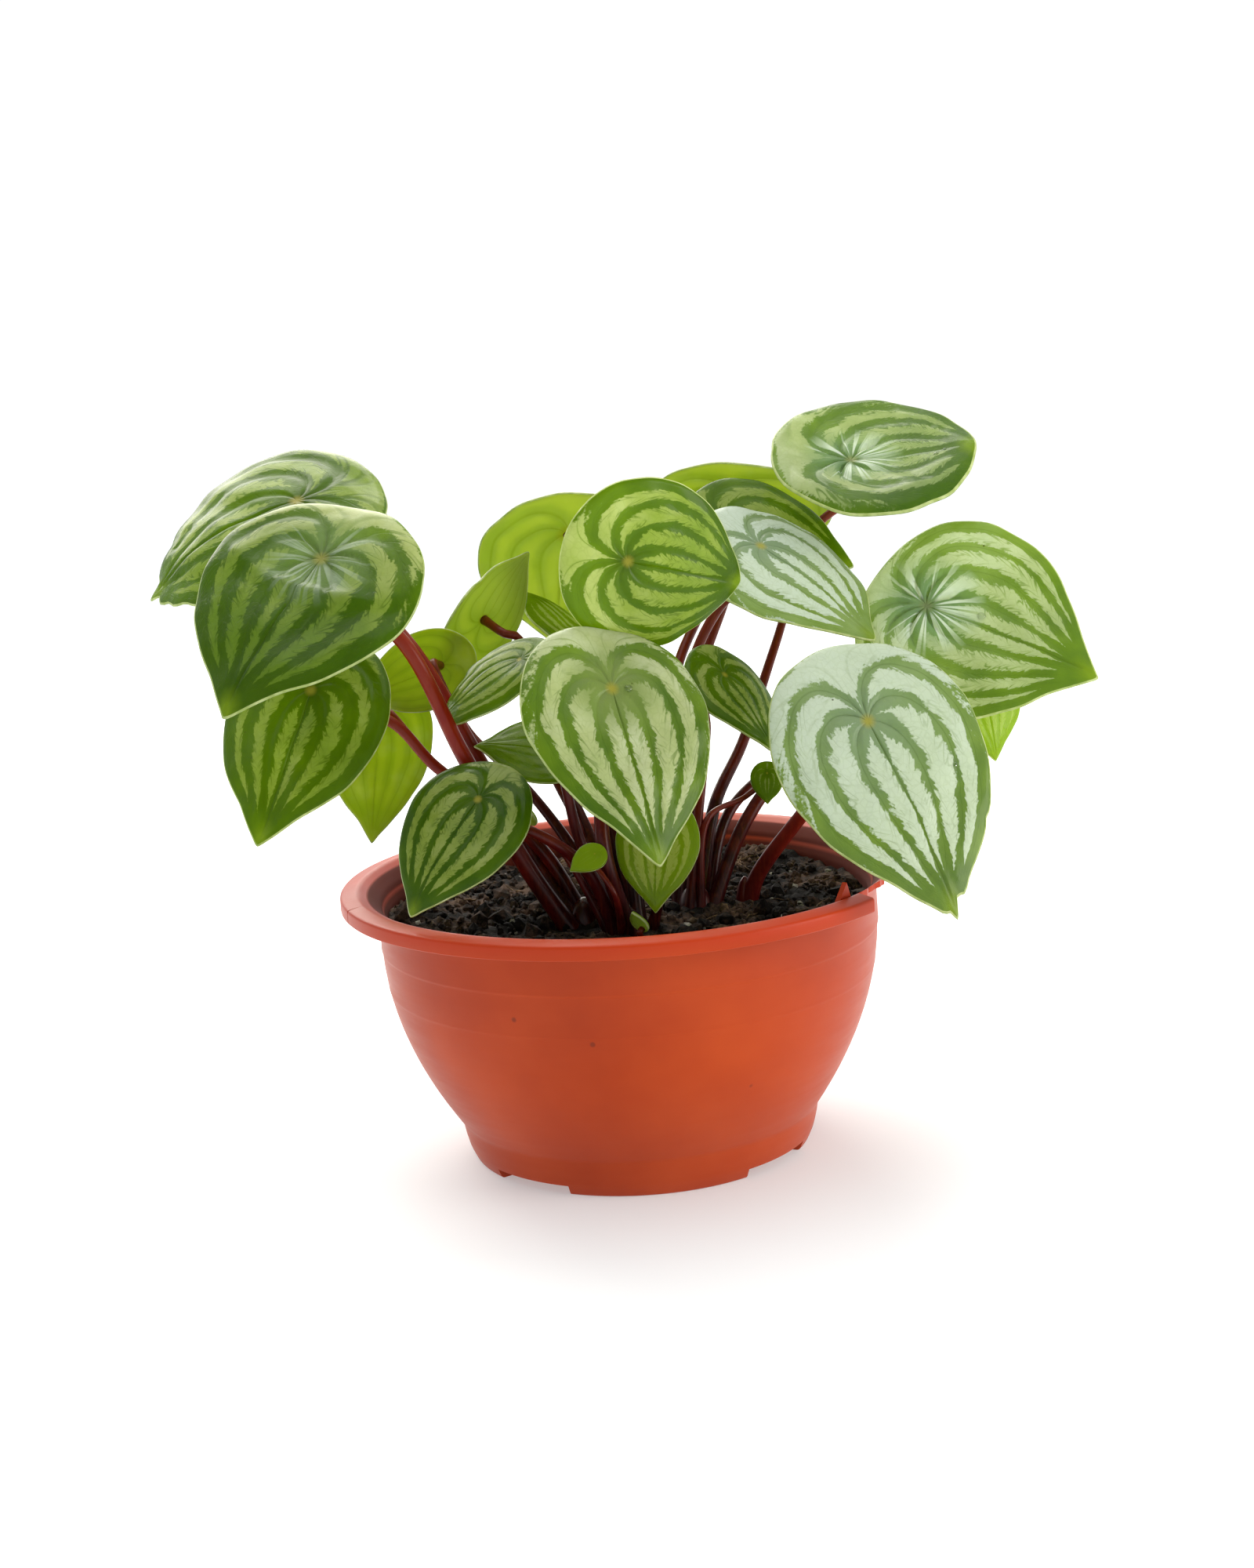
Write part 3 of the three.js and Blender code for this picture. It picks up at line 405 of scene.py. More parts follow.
def leaf_upper_skin(add):
    """Waxy leaf skin, upper face: deep green along the veins and matt silver between them, cracked
    across by fine side veins. The eye sees broad soft highlights and a slight glow."""
    fields = ("vein", "flat", "look", "sheen_glints_calm")
    vein, place, look, sheen_glints_calm = [add("Attribute", output="Vector", attribute_name=field) for field in fields]
    band, run, reach = add("SeparateXYZ", vein).node.outputs
    shade, youth_and_glow, silvering = add("SeparateXYZ", look).node.outputs
    painted_blue_sheen, star_glints, calm = add("SeparateXYZ", sheen_glints_calm).node.outputs
    off_vein = nearest_vein(add, band)[-1]
    silver, crack = silver_bands(add, band, run, reach, silvering, place)
    green, pale = leaf_tones(add, place, reach, shade, painted_blue_sheen)
    colour = add("Mix", {0: silver, 6: green, 7: pale}, output=2, data_type="RGBA")
    young = add("Mix", {0: silver, 6: "#7f9e12", 7: "#b4c35c"}, output=2, data_type="RGBA")
    # The vein itself is a thin darker line down the middle of each green band.
    on_vein = add("MapRange", off_vein, 0.0, 0.03, 0.3, 0.0)
    # The stalk's end shows through as a yellow dot, on some leaves in a plain grey-green patch.
    patch = add("Math", add("MapRange", reach, 6.0, 17.0, 0.9, 0.0), calm, operation="MULTIPLY")
    dot = add("MapRange", reach, 0.7, 2.6, 0.75, 0.0)
    tip = add("MapRange", run, 3.2, 5.0, 0.0, 0.6)
    # On the older leaves painted highlights run out from there in a white star along the folds, on bluish
    # green.
    bluish_patch = add("Math", add("MapRange", reach, 7.0, 17.0, 0.65, 0.0), star_glints, operation="MULTIPLY")
    glint_ray = painted_star_glints(add, place, reach, star_glints)
    # A few dead specks, half a millimetre across.
    speck = few_spots(add, place, 0.11, 0.8, (0.025, 0.045, 0.85, 0.0))
    for factor, tint in ((on_vein, "#2a5200"), (youth_and_glow, young), (patch, "#7d9150"), (dot, "#b9b03a"),
                         (tip, "#86a020"), (bluish_patch, "#6f9478"), (glint_ray, "#e2eeee"), (speck, "#2a2410")):
        colour = add("Mix", {0: factor, 6: colour, 7: tint}, output=2, data_type="RGBA")
    # Skin cells, drawn half a millimetre across so that they show, catch the light as a fine grain.
    cells = add("TexVoronoi", {"Vector": place, "Scale": 2.2})
    lumps = add("TexNoise", {"Vector": place, "Scale": 0.3, "Detail": 3.0})
    skin = add("Bump", {"Strength": 0.1, "Distance": 0.2 * MM, "Height": cells})
    for height, depth, sunk in ((lumps, 1.2, False), (crack, 0.5, True)):
        relief = {"Strength": 0.35, "Distance": depth * MM, "Height": height, "Normal": skin}
        skin = add("Bump", relief, invert=sunk)
    rough = add("MapRange", silver, 0.0, 1.0, 0.38, 0.44)
    wax = add("BsdfPrincipled", {
        "Base Color": colour, "Roughness": rough, "IOR": 1.42, "Specular IOR Level": 0.12, "Normal": skin,
        "Coat Weight": 0.5, "Coat Roughness": 0.15, "Coat IOR": 1.35})
    thin = add("MapRange", painted_blue_sheen, 0.0, 1.0, 0.4, 0.12)
    lit = add("Mix", {0: thin, 6: colour, 7: "#b4d824"}, output=2, data_type="RGBA")
    return add("MixShader", 0.4, wax, add("BsdfTranslucent", lit))


def leaf_under_skin(add):
    """Leaf skin, underside: matt yellow-green, paler between raised veins. It glows where light
    comes through the blade."""
    fields = ("vein", "flat", "look")
    vein, place, look = [add("Attribute", output="Vector", attribute_name=field) for field in fields]
    band, _, reach = add("SeparateXYZ", vein).node.outputs
    off_vein = nearest_vein(add, band)[-1]
    cloud = add("TexNoise", {"Vector": place, "Scale": 0.09, "Detail": 3.0})
    colour = add("ValToRGB", cloud, stops=[(0.3, "#b0c026"), (0.5, "#c0cc3c"), (0.75, "#d4da7c")])
    # Young blades are paler below. On some older blades this pale mix is a painted glow that stands in for
    # light coming through the blade.
    youth_and_glow = add("Math", add("SeparateXYZ", look, output=1), 2.0, operation="MULTIPLY", use_clamp=True)
    on_vein = add("MapRange", off_vein, 0.0, 0.09, 0.5, 0.0)
    dot = add("MapRange", reach, 2.0, 5.0, 0.8, 0.0)
    for factor, tint in ((youth_and_glow, "#d6dc84"), (on_vein, "#8f9c20"), (dot, "#c8a53a")):
        colour = add("Mix", {0: factor, 6: colour, 7: tint}, output=2, data_type="RGBA")
    lumps = add("TexNoise", {"Vector": place, "Scale": 0.6, "Detail": 3.0})
    skin = add("Bump", {"Strength": 0.3, "Distance": 0.6 * MM, "Height": lumps})
    matt = add("BsdfPrincipled", {
        "Base Color": colour, "Roughness": 0.5, "IOR": 1.4, "Specular IOR Level": 0.35, "Normal": skin})
    lit = add("Mix", {0: 0.6, 6: colour, 7: "#eef83c"}, output=2, data_type="RGBA")
    return add("MixShader", 0.75, matt, add("BsdfTranslucent", lit))


def leaf_margin_skin(add):
    """The blade's bare margin: a thin, almost clear, cream-green line that lights up."""
    place = add("Attribute", output="Vector", attribute_name="flat")
    cloud = add("TexNoise", {"Vector": place, "Scale": 0.3, "Detail": 2.0})
    colour = add("ValToRGB", cloud, stops=[(0.3, "#a9bb6c"), (0.6, "#c9d59a"), (0.8, "#e2e8c2")])
    wax = add("BsdfPrincipled", {"Base Color": colour, "Roughness": 0.35, "IOR": 1.45})
    return add("MixShader", 0.45, wax, add("BsdfTranslucent", colour))


def stalk_skin(add, low, middle, high):
    """Smooth fleshy stalk skin: dark wine red at the root, browner above, with fine lengthwise
    streaks and a wet-looking highlight down its side."""
    climb = add("Attribute", output="Fac", attribute_name="climb")
    place = add("TexCoord", output="Object")
    mottle = add("TexNoise", {"Vector": place, "Scale": 140.0, "Detail": 3.0})
    lengthwise = add("Mapping", {"Vector": place, "Scale": (900.0, 900.0, 60.0)})
    streak = add("TexNoise", {"Vector": lengthwise, "Scale": 1.0, "Detail": 2.0})
    level = add("Math", climb, add("MapRange", mottle, 0.3, 0.7, -0.12, 0.12), operation="ADD")
    colour = add("ValToRGB", level, stops=[(0.08, low), (0.5, middle), (1.0, high)])
    light = add("MapRange", streak, 0.5, 0.8, 0.0, 0.2)
    colour = add("Mix", {0: light, 6: colour, 7: "#94441c"}, output=2, data_type="RGBA")
    skin = add("Bump", {"Strength": 0.15, "Distance": 0.3 * MM, "Height": streak})
    return add("BsdfPrincipled", {
        "Base Color": colour, "Roughness": 0.34, "IOR": 1.4, "Specular IOR Level": 0.22, "Normal": skin,
        "Coat Weight": 0.1, "Coat Roughness": 0.2, "Subsurface Weight": 0.05,
        "Subsurface Radius": (1.0, 0.3, 0.15), "Subsurface Scale": 1.5 * MM})


def pot_plastic(add):
    """Terracotta-coloured polypropylene, moulded: satin, a little see-through, with handling scuffs
    and a dusty bloom low on the wall."""
    place = add("TexCoord", output="Object")
    height = add("SeparateXYZ", place, output=2)
    cloud = add("TexNoise", {"Vector": place, "Scale": 18.0, "Detail": 4.0})
    colour = add("ValToRGB", cloud, stops=[(0.3, "#a03206"), (0.5, "#ac3a0a"), (0.72, "#b84412")])
    dusty = add("Math", add("MapRange", height, 0.0, 45 * MM, 0.35, 0.0), cloud, operation="MULTIPLY")
    top = add("MapRange", height, 80 * MM, 86 * MM, 0.0, 0.7)
    # Painted shade darkens the inside of the wall above the soil, most below a ragged line under the lip,
    # and makes it rougher. Inside is whatever lies nearer the axis than the middle of the wall, which leans
    # out above the neck.
    flat = add("VectorMath", place, (1.0, 1.0, 0.0), operation="MULTIPLY")
    radius = add("VectorMath", flat, output="Value", operation="LENGTH")
    neck, rim = NECK_HEIGHT * MM, (NECK_HEIGHT + 4.2) * MM
    wall = add("MapRange", height, neck, rim, (BELLY_RADIUS - 1) * MM, (BELLY_RADIUS + 3.8) * MM)
    depth = add("Math", wall, radius, operation="SUBTRACT")
    inside = add("MapRange", depth, 0.0, 0.8 * MM)
    above_soil = add("Math", height, (SOIL_LEVEL - 3) * MM, operation="GREATER_THAN")
    shade_line = add("Math", cloud, 8 * MM, height, operation="MULTIPLY_ADD")
    inner_wall_shade = add("MapRange", shade_line, 92 * MM, 96 * MM, 0.92, 0.6)
    for factor in (inside, above_soil):
        inner_wall_shade = add("Math", inner_wall_shade, factor, operation="MULTIPLY")
    # Dark pinholes in the moulding, one to two millimetres across.
    hole = few_spots(add, place, 90.0, 0.82, (0.05, 0.09, 0.6, 0.0))
    for factor, tint in ((dusty, "#a8543a"), (top, "#ae2e05"), (inner_wall_shade, "#4a160a"), (hole, "#5e2412")):
        colour = add("Mix", {0: factor, 6: colour, 7: tint}, output=2, data_type="RGBA")
    rubbed = add("Mapping", {"Vector": place, "Scale": (30.0, 30.0, 260.0)})
    scuff = add("TexNoise", {"Vector": rubbed, "Scale": 1.0, "Detail": 5.0, "Roughness": 0.7})
    rough = add("MapRange", scuff, 0.35, 0.7, 0.36, 0.44)
    rough = add("Math", inner_wall_shade, 0.45, rough, operation="MULTIPLY_ADD")
    peel = add("TexNoise", {"Vector": place, "Scale": 700.0, "Detail": 2.0})
    fine = add("Bump", {"Strength": 0.08, "Distance": 0.1 * MM, "Height": peel})
    return add("BsdfPrincipled", {
        "Base Color": colour, "Roughness": rough, "IOR": 1.49, "Specular IOR Level": 0.2, "Normal": fine,
        "Subsurface Weight": 0.08, "Subsurface Radius": (1.0, 0.25, 0.08), "Subsurface Scale": 2 * MM})


def crumbly(add, dark, light):
    """Damp peat, and what lies in it: rough crumbs that take almost no highlight, darker where wet."""
    place = add("TexCoord", output="Object")
    crumbs = add("TexNoise", {"Vector": place, "Scale": 420.0, "Detail": 6.0, "Roughness": 0.7})
    damp = add("TexNoise", {"Vector": place, "Scale": 60.0, "Detail": 2.0})
    damp = add("Math", damp, 0.5, operation="SUBTRACT")
    tone = add("Math", damp, 1.2, crumbs, operation="MULTIPLY_ADD")
    colour = add("ValToRGB", tone, stops=[(0.4, dark), (0.78, light)])
    rough = add("Bump", {"Strength": 0.9, "Distance": 1.2 * MM, "Height": crumbs})
    return add("BsdfPrincipled", {
        "Base Color": colour, "Roughness": 0.8, "Specular IOR Level": 0.12, "Normal": rough})


def dew_water(add):
    """Clear water in beads: smooth, so the leaf shows through it and the window is one sharp glint."""
    shiver = add("TexNoise", {"Vector": add("TexCoord", output="Object"), "Scale": 900.0})
    skin = add("Bump", {"Strength": 0.05, "Distance": 0.2 * MM, "Height": shiver})
    return add("BsdfPrincipled", {
        "Base Color": "#fbfffb", "Roughness": 0.03, "IOR": 1.33, "Normal": skin,
        "Transmission Weight": 1.0})


def studio_paper(add):
    """Matt white background paper, lit a little from below as on a light table, and less so round the pot,
    where the dimmer glow is a painted shadow of the pot.
    """
    place = add("TexCoord", output="Object")
    fibre = add("TexNoise", {"Vector": place, "Scale": 6.0, "Detail": 2.0})
    colour = add("ValToRGB", fibre, stops=[(0.2, "#ccd3d6"), (0.8, "#d4dadd")])
    from_pot = add("VectorMath", place, output="Value", operation="LENGTH")
    glow = add("MapRange", from_pot, 100 * MM, 450 * MM, 0.32, 0.62)
    return add("BsdfPrincipled", {
        "Base Color": colour, "Roughness": 0.9, "Emission Color": "#ffffff", "Emission Strength": glow})


def make_piece(name, points, faces, materials=(), face_slots=None, smooth=True):
    """A mesh object from points in millimetres."""
    mesh = bpy.data.meshes.new(name)
    mesh.from_pydata((np.asarray(points) * MM).tolist(), [], faces)
    for material in materials:
        mesh.materials.append(material)
    if face_slots is not None:
        mesh.polygons.foreach_set("material_index", face_slots)
    mesh.polygons.foreach_set("use_smooth", [smooth] * len(mesh.polygons))
    mesh.validate()
    mesh.update()
    piece = bpy.data.objects.new(name, mesh)
    bpy.context.scene.collection.objects.link(piece)
    return piece


def dress(piece, slot, *nodes):
    """Puts a piece on the plant's one body, in place of the nodes that it stands for."""
    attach(piece, "root")
    if nodes:
        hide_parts(*nodes)


def store(piece, name, values):
    """Stores a number or a vector at each point, for the materials to read."""
    vectors = values.ndim == 2
    attribute = piece.data.attributes.new(name, "FLOAT_VECTOR" if vectors else "FLOAT", "POINT")
    attribute.data.foreach_set("vector" if vectors else "value", values.ravel())


def joined(bodies):
    """The points and faces of several closed bodies, as one."""
    points, faces, first = [], [], 0
    for body_points, body_faces in bodies:
        points.append(body_points)
        faces += [tuple(first + corner for corner in face) for face in body_faces]
        first += len(body_points)
    return np.concatenate(points), faces


def ring_faces(rings, sides, first=0):
    """Four-sided faces that join each ring of points to the next one."""
    faces = []
    for ring in range(rings - 1):
        for side in range(sides):
            a, b = (first + ring * sides + corner % sides for corner in (side, side + 1))
            faces.append((a, b, b + sides, a + sides))
    return faces


def polar(radius, degrees):
    """A point in plan, at a radius and a heading."""
    return radius * math.cos(math.radians(degrees)), radius * math.sin(math.radians(degrees))


def facing(points, degrees):
    """Points drawn towards +X, swung round the upright axis to a heading."""
    cos, sin = polar(1, degrees)
    return np.array(points) @ np.array([(cos, sin, 0), (-sin, cos, 0), (0, 0, 1)])


def hill(distance, width):
    """A smooth hill: 1 at its middle, and falling away over a width."""
    return np.exp(-((distance / width) ** 2))


def ramp(value, start, end):
    """0 up to the start and 1 from the end on, straight between them."""
    return np.clip((value - start) / (end - start), 0, 1)


def outline(leaf, angle):
    """The blade's flat outline at an angle from the tip: along and across the midrib. It grew a little
    unevenly, and some margins have nicks."""
    shoulder, length, seed = leaf["shoulder"], leaf["length"], leaf["seed"]
    from_tip = np.arctan2(np.sin(angle), np.cos(angle))
    along = length * (1 - leaf["point"]) * (0.5 + 0.5 * np.cos(angle)) - leaf["attach"] * length
    along = along + length * leaf["point"] * hill(from_tip, POINT_SPREAD)
    peak = 2 * ((shoulder + 1) / (shoulder + 2)) ** ((shoulder + 1) / 2) / math.sqrt(shoulder + 2)
    across = 0.5 * leaf["width"] * np.sin(angle) * np.abs(np.sin(angle / 2)) ** shoulder / peak
    grown = 1 + 0.006 * np.sin(5 * angle + seed) + 0.004 * np.sin(9 * angle + 2.3 * seed)
    grown = grown + 0.002 * np.sin(17 * angle + seed)
    for heading, depth, width in leaf["nicks"]:
        grown = grown - depth * hill(from_tip - math.radians(heading), math.radians(width))
    return along * grown, across * grown


def arc(distance, curvature):
    """Bends a flat strip to an arc: how far along and how far down each point comes to lie."""
    curvature = np.where(np.abs(curvature) < 1e-6, 1e-6, curvature)
    turn = distance * curvature
    return np.sin(turn) / curvature, -(1 - np.cos(turn)) / curvature


def blade_point(leaf, along, across):
    """The blade's middle surface in the leaf's own axes: along the midrib, across it and up."""
    front = (1 - leaf["attach"]) * leaf["length"]
    rear = leaf["attach"] * leaf["length"]
    half = leaf["width"] / 2
    curvature = np.radians(np.where(along >= 0, leaf["droop"] / front, leaf["rear_droop"] / rear))
    x, z = arc(along, curvature)
    swept = across + leaf["sweep"] * half * (np.maximum(0, along) / front) ** 2
    y, sag = arc(swept, math.radians(leaf["cross"]) / half)
    away = np.hypot(2 * along / leaf["length"], swept / half)
    rise = sag + leaf["cup"] * (1 - hill(away, CUP_SPREAD))
    tilt = along * curvature
    return np.stack([x + np.sin(tilt) * rise, y, z + np.cos(tilt) * rise], -1)


def blade_normal(leaf, along, across):
    """The way that the blade's upper face looks, in the leaf's own axes."""
    step = 0.05
    ahead = blade_point(leaf, along + step, across) - blade_point(leaf, along - step, across)
    aside = blade_point(leaf, along, across + step) - blade_point(leaf, along, across - step)
    normal = np.cross(ahead, aside)
    return normal / np.linalg.norm(normal, axis=-1, keepdims=True)


def leaf_axes(leaf):
    """The leaf's own axes where the stalk joins it: along the midrib, to its left, out of its face."""
    heading, pitch, roll = (math.radians(angle) for angle in leaf["turn"])
    ahead = np.array([math.cos(heading), math.sin(heading), 0.0])
    along = math.cos(pitch) * ahead + (0.0, 0.0, math.sin(pitch))
    level = np.array([-math.sin(heading), math.cos(heading), 0.0])
    up = np.cross(along, level)
    left = level * math.cos(roll) + up * math.sin(roll)
    return np.stack([along, left, np.cross(along, left)])


def vein_field(leaf, share, angle):
    """Where a point lies among the veins. The veins run like a stream that wells up at the stalk,
    fills the blade and drains at the tip. Gives the number of the vein, counted out from the midrib,
    and how far the stream has run."""
    stalk = -(1 - 2 * leaf["attach"])
    spot = stalk + share * (np.exp(1j * angle) - stalk)
    spread = np.where(np.abs(spot - stalk) < 1e-4, 1e-4, spot - stalk)
    to_tip = np.where(np.abs(1 - spot) < 0.02, 0.02, 1 - spot)
    stream = np.log(spread) + np.log(1 - stalk * spot) - 2 * np.log(to_tip)
    turned_out = np.degrees(np.abs(np.angle(np.exp(1j * stream.imag))))
    numbers = list(range(len(leaf["veins"]))) + [len(leaf["veins"]) - 0.5]
    return np.interp(turned_out, list(leaf["veins"]) + [180], numbers), np.clip(stream.real, -4, 6)


def blade_relief(leaf, share, angle, along, across, off_vein):
    """How far each point stands out of the blade's smooth surface."""
    seed, size = leaf["seed"], leaf["width"] / FULL_WIDTH
    reach = np.hypot(along, across)
    inland = ramp(share, 1, 0.85)
    # The skin stands up between the veins, and most of all in the folds round the stalk.
    groove = hill(off_vein, 0.1) * ramp(reach, 0, 4)
    relief = size * (0.35 - 0.55 * groove) * inland * ramp(reach, 0, 12)
    folds = hill(reach - 5 * size, 5.5 * size) * (0.5 - groove)
    relief = relief + 0.8 * leaf["crease"] * size * folds
    # The whole blade swells unevenly, in waves 33 to 39 mm long and smaller ones 14 mm long.
    swell = 0.45 * np.sin(0.19 * along + 2.1 * seed) * np.sin(0.16 * across + 1.3 * seed)
    swell = swell + 0.2 * np.sin(0.33 * along + 0.29 * across + seed)
    relief = relief + size * swell * ramp(reach, 0, 15 * size)
    crest = hill(along - 13 + 0.01 * across ** 2, 2.4) * hill(across, 22)
    furrow = hill(across, 3.5) * ramp(along, 0, 12) * inland
    relief = relief + leaf["ridge"] * crest - leaf["furrow"] * furrow
    # The margin waves and curls down, and the brim turns down the near side.
    wave = leaf["wave"] * share ** 3 * np.sin(3 * angle + seed)
    turn_down = leaf["brim"] * np.sqrt(np.maximum(0, -np.sin(angle))) * ramp(share, 0.76, 1) ** 2
    return relief + wave - turn_down - leaf["curl"] * ramp(share, 0.88, 1) ** 2


def flipped(face):
    """A face turned to look the other way. Its first corner stays, and with it the diagonal that a
    four-sided face is split along."""
    return face[:1] + face[:0:-1]


def blade_faces(rings, sides):
    """A blade's faces and the material of each: upper skin 0, underside 1 and margin 2."""
    count = 1 + rings * sides
    last = count - sides
    upper = [(0, 1 + side, 1 + (side + 1) % sides) for side in range(sides)]
    upper += [flipped(face) for face in ring_faces(rings, sides, 1)]
    under = [tuple(count + corner for corner in flipped(face)) for face in upper]
    rim = []
    for side in range(sides):
        a, b = last + side, last + (side + 1) % sides
        rim.append((a, count + a, count + b, b))
    slots = []
    for skin in (0, 1):
        slots += [skin] * sides * (rings - MARGIN_STEPS) + [2] * sides * MARGIN_STEPS
    return upper + under + rim, slots + [2] * sides


def leaf_blade(leaf, skins):
    """One leaf blade: rings of points from the stalk out to the margin, on both faces, with the
    veins pressed into the upper face and standing out below."""
    sides = leaf["sides"]
    round_the_edge = np.linspace(0, 2 * math.pi, sides, endpoint=False)
    share, angle = np.meshgrid(RING_SHARES, round_the_edge, indexing="ij")
    share, angle = np.append(0.0, share), np.append(0.0, angle)
    along, across = (share * edge for edge in outline(leaf, angle))
    band, run = vein_field(leaf, share, angle)
    relief = blade_relief(leaf, share, angle, along, across, np.abs(band - np.round(band)))
    half_thick = BLADE_THICK / 2 * np.sqrt(1 - 0.8 * ramp(share, 0.96, 1) ** 2)
    middle = blade_point(leaf, along, across)
    normal = blade_normal(leaf, along, across)
    sheets = [middle + normal * (relief + face * half_thick)[:, None] for face in (1, -1)]
    points = np.concatenate(sheets) @ leaf_axes(leaf) + leaf["at"]
    faces, slots = blade_faces(len(RING_SHARES), sides)
    piece = make_piece(leaf["node"] + "_blade", points, faces, skins, slots)
    ones = np.ones(len(share))
    # A painted sheen: the rear of the blade paler, and the tip deeper.
    painted_sheen = -leaf["painted_rear_sheen"] * share * np.cos(angle)
    reach = np.hypot(along, across) * FULL_WIDTH / leaf["width"]
    # The materials read these: vein is the place among the veins and the way out from the stalk, as on a
    # full-grown blade, flat the place on the flat blade and a number of the leaf's own, and look and
    # sheen_glints_calm its colours. look holds the painted rear sheen, and sheen_glints_calm holds the
    # painted bluish sheen, the strength of the painted glints and the plain patch.
    fields = {
        "vein": [band, run, reach],
        "flat": [along, across, 3.7 * leaf["seed"] * ones],
        "look": [leaf["shade"] + painted_sheen, leaf["youth_and_glow"] * ones, leaf["silver"] + 0.6 * painted_sheen],
        "sheen_glints_calm": [leaf["painted_blue_sheen"] * ones, leaf["star_glints"] * ones, leaf["calm"] * ones],
    }
    for name, values in fields.items():
        store(piece, name, np.tile(np.stack(values, -1), (2, 1)))
    store(piece, "margin", np.tile((1 - share) * leaf["width"] / 2, 2))
    dress(piece, "young_leaf" if leaf["youth_and_glow"] > 0.3 else "leaf", leaf["node"])


def smooth_route(points, steps):
    """An even run of points on the smooth curve that passes through the given ones, and its length."""
    points = np.asarray(points, float)
    points = np.concatenate([[2 * points[0] - points[1]], points, [2 * points[-1] - points[-2]]])
    steps_to = np.diff(points, axis=0)
    gaps = np.sqrt(np.linalg.norm(steps_to, axis=1))[:, None]
    speeds = steps_to / gaps
    speeds = speeds[:-1] - (points[2:] - points[:-2]) / (gaps[:-1] + gaps[1:]) + speeds[1:]
    spans = len(points) - 3
    place = np.linspace(0, spans, 20 * spans + 1)
    span = np.minimum(place.astype(int), spans - 1)
    t = (place - span)[:, None]
    start, end = points[span + 1], points[span + 2]
    leave, arrive = speeds[span] * gaps[span + 1], speeds[span + 1] * gaps[span + 1]
    places = (start + leave * t + (3 * (end - start) - 2 * leave - arrive) * t ** 2
              + (2 * (start - end) + leave + arrive) * t ** 3)
    length = np.concatenate([[0], np.cumsum(np.linalg.norm(np.diff(places, axis=0), axis=1))])
    even = np.linspace(0, length[-1], steps)
    return np.stack([np.interp(even, length, places[:, axis]) for axis in range(3)], -1), length[-1]


def tube(route, radii, sides):
    """A closed round tube along a route, with its points and faces."""
    along = np.gradient(route, axis=0)
    along /= np.linalg.norm(along, axis=1, keepdims=True)
    across = np.cross(along[0], (0.3, 1.0, 0.1))
    points = []
    angles = np.linspace(0, 2 * math.pi, sides, endpoint=False)
    cos, sin = np.cos(angles), np.sin(angles)
    for centre, direction, radius in zip(route, along, radii):
        across = across - direction * (across @ direction)
        across /= np.linalg.norm(across)
        other = np.cross(direction, across)
        points.append(centre + radius * (np.outer(cos, across) + np.outer(sin, other)))
    last = (len(route) - 1) * sides
    ends = [tuple(range(sides))[::-1], tuple(range(last, last + sides))]
    return np.concatenate(points), ends + ring_faces(len(route), sides)


def shoot(name):
    """A crown under the soil and all the stalks that rise from it."""
    (x, y, radius), finish, colours = SHOOTS[name]
    crown = np.array([(x, y, height) for height in np.linspace(CROWN_FOOT, CROWN_TOP, 16)])
    # The crown is a ball stretched upright, a tenth slimmer than in the construction model.
    roundness = np.sqrt(np.clip(1 - ((crown[:, 2] - CROWN_MIDDLE) / CROWN_HALF_HEIGHT) ** 2, 0.02, 1))
    strands = [(crown, 0.9 * radius * roundness, 20, np.zeros(len(crown)))]
    for leaf in leaves:
        if leaf["shoot"] != name:
            continue
        face = leaf_axes(leaf)[2]
        join = np.array(leaf["at"], float)
        root = (*leaf["root"], ROOT_LEVEL)
        stops = [root, *leaf["via"], join - face * leaf["straight"], join - face * (BLADE_THICK / 2 - 0.15)]
        route, length = smooth_route(stops, 56)
        climb = np.linspace(0, 1, len(route))
        # A stalk tapers over its lower five eighths. It is a quarter thicker at its root, and swells by
        # nearly a fifth under the blade.
        radii = np.interp(climb, (0, 5 / 8), leaf["thick"])
        radii = radii * (1 + 0.25 * hill(climb * length, 7)) * (1 + 0.18 * hill((1 - climb) * length, 2.5))
        strands.append((route, radii, 14, climb))
    points, faces = joined(tube(route, radii, sides) for route, radii, sides, _ in strands)
    piece = make_piece(name + "_stalks", points, faces, [new_material(finish, stalk_skin, *colours)])
    store(piece, "climb", np.concatenate([np.repeat(climb, sides) for _, _, sides, climb in strands]))
    dress(piece, "stalk", name)


def bowl_radius(height):
    """The bowl's outer radius: a parabola from the ankle up to the belly, and straight above it."""
    below = max(0, BELLY_HEIGHT - height) / (BELLY_HEIGHT - ANKLE_HEIGHT)
    return BELLY_RADIUS - (BELLY_RADIUS - ANKLE_RADIUS) * below ** 2


def round_corners(profile, radius, steps=4):
    """Replaces each corner of a [radius, height] profile by a short arc, but for its two ends."""
    rounded = [profile[0]]
    for before, corner, after in zip(profile, profile[1:], profile[2:]):
        corner = np.array(corner, float)
        back, ahead = np.array(before) - corner, np.array(after) - corner
        cut_back = min(radius, 0.45 * np.linalg.norm(back), 0.45 * np.linalg.norm(ahead))
        start = corner + back / np.linalg.norm(back) * cut_back
        end = corner + ahead / np.linalg.norm(ahead) * cut_back
        for t in np.linspace(0, 1, steps):
            rounded.append(tuple((1 - t) ** 2 * start + 2 * t * (1 - t) * corner + t ** 2 * end))
    rounded.append(profile[-1])
    return rounded


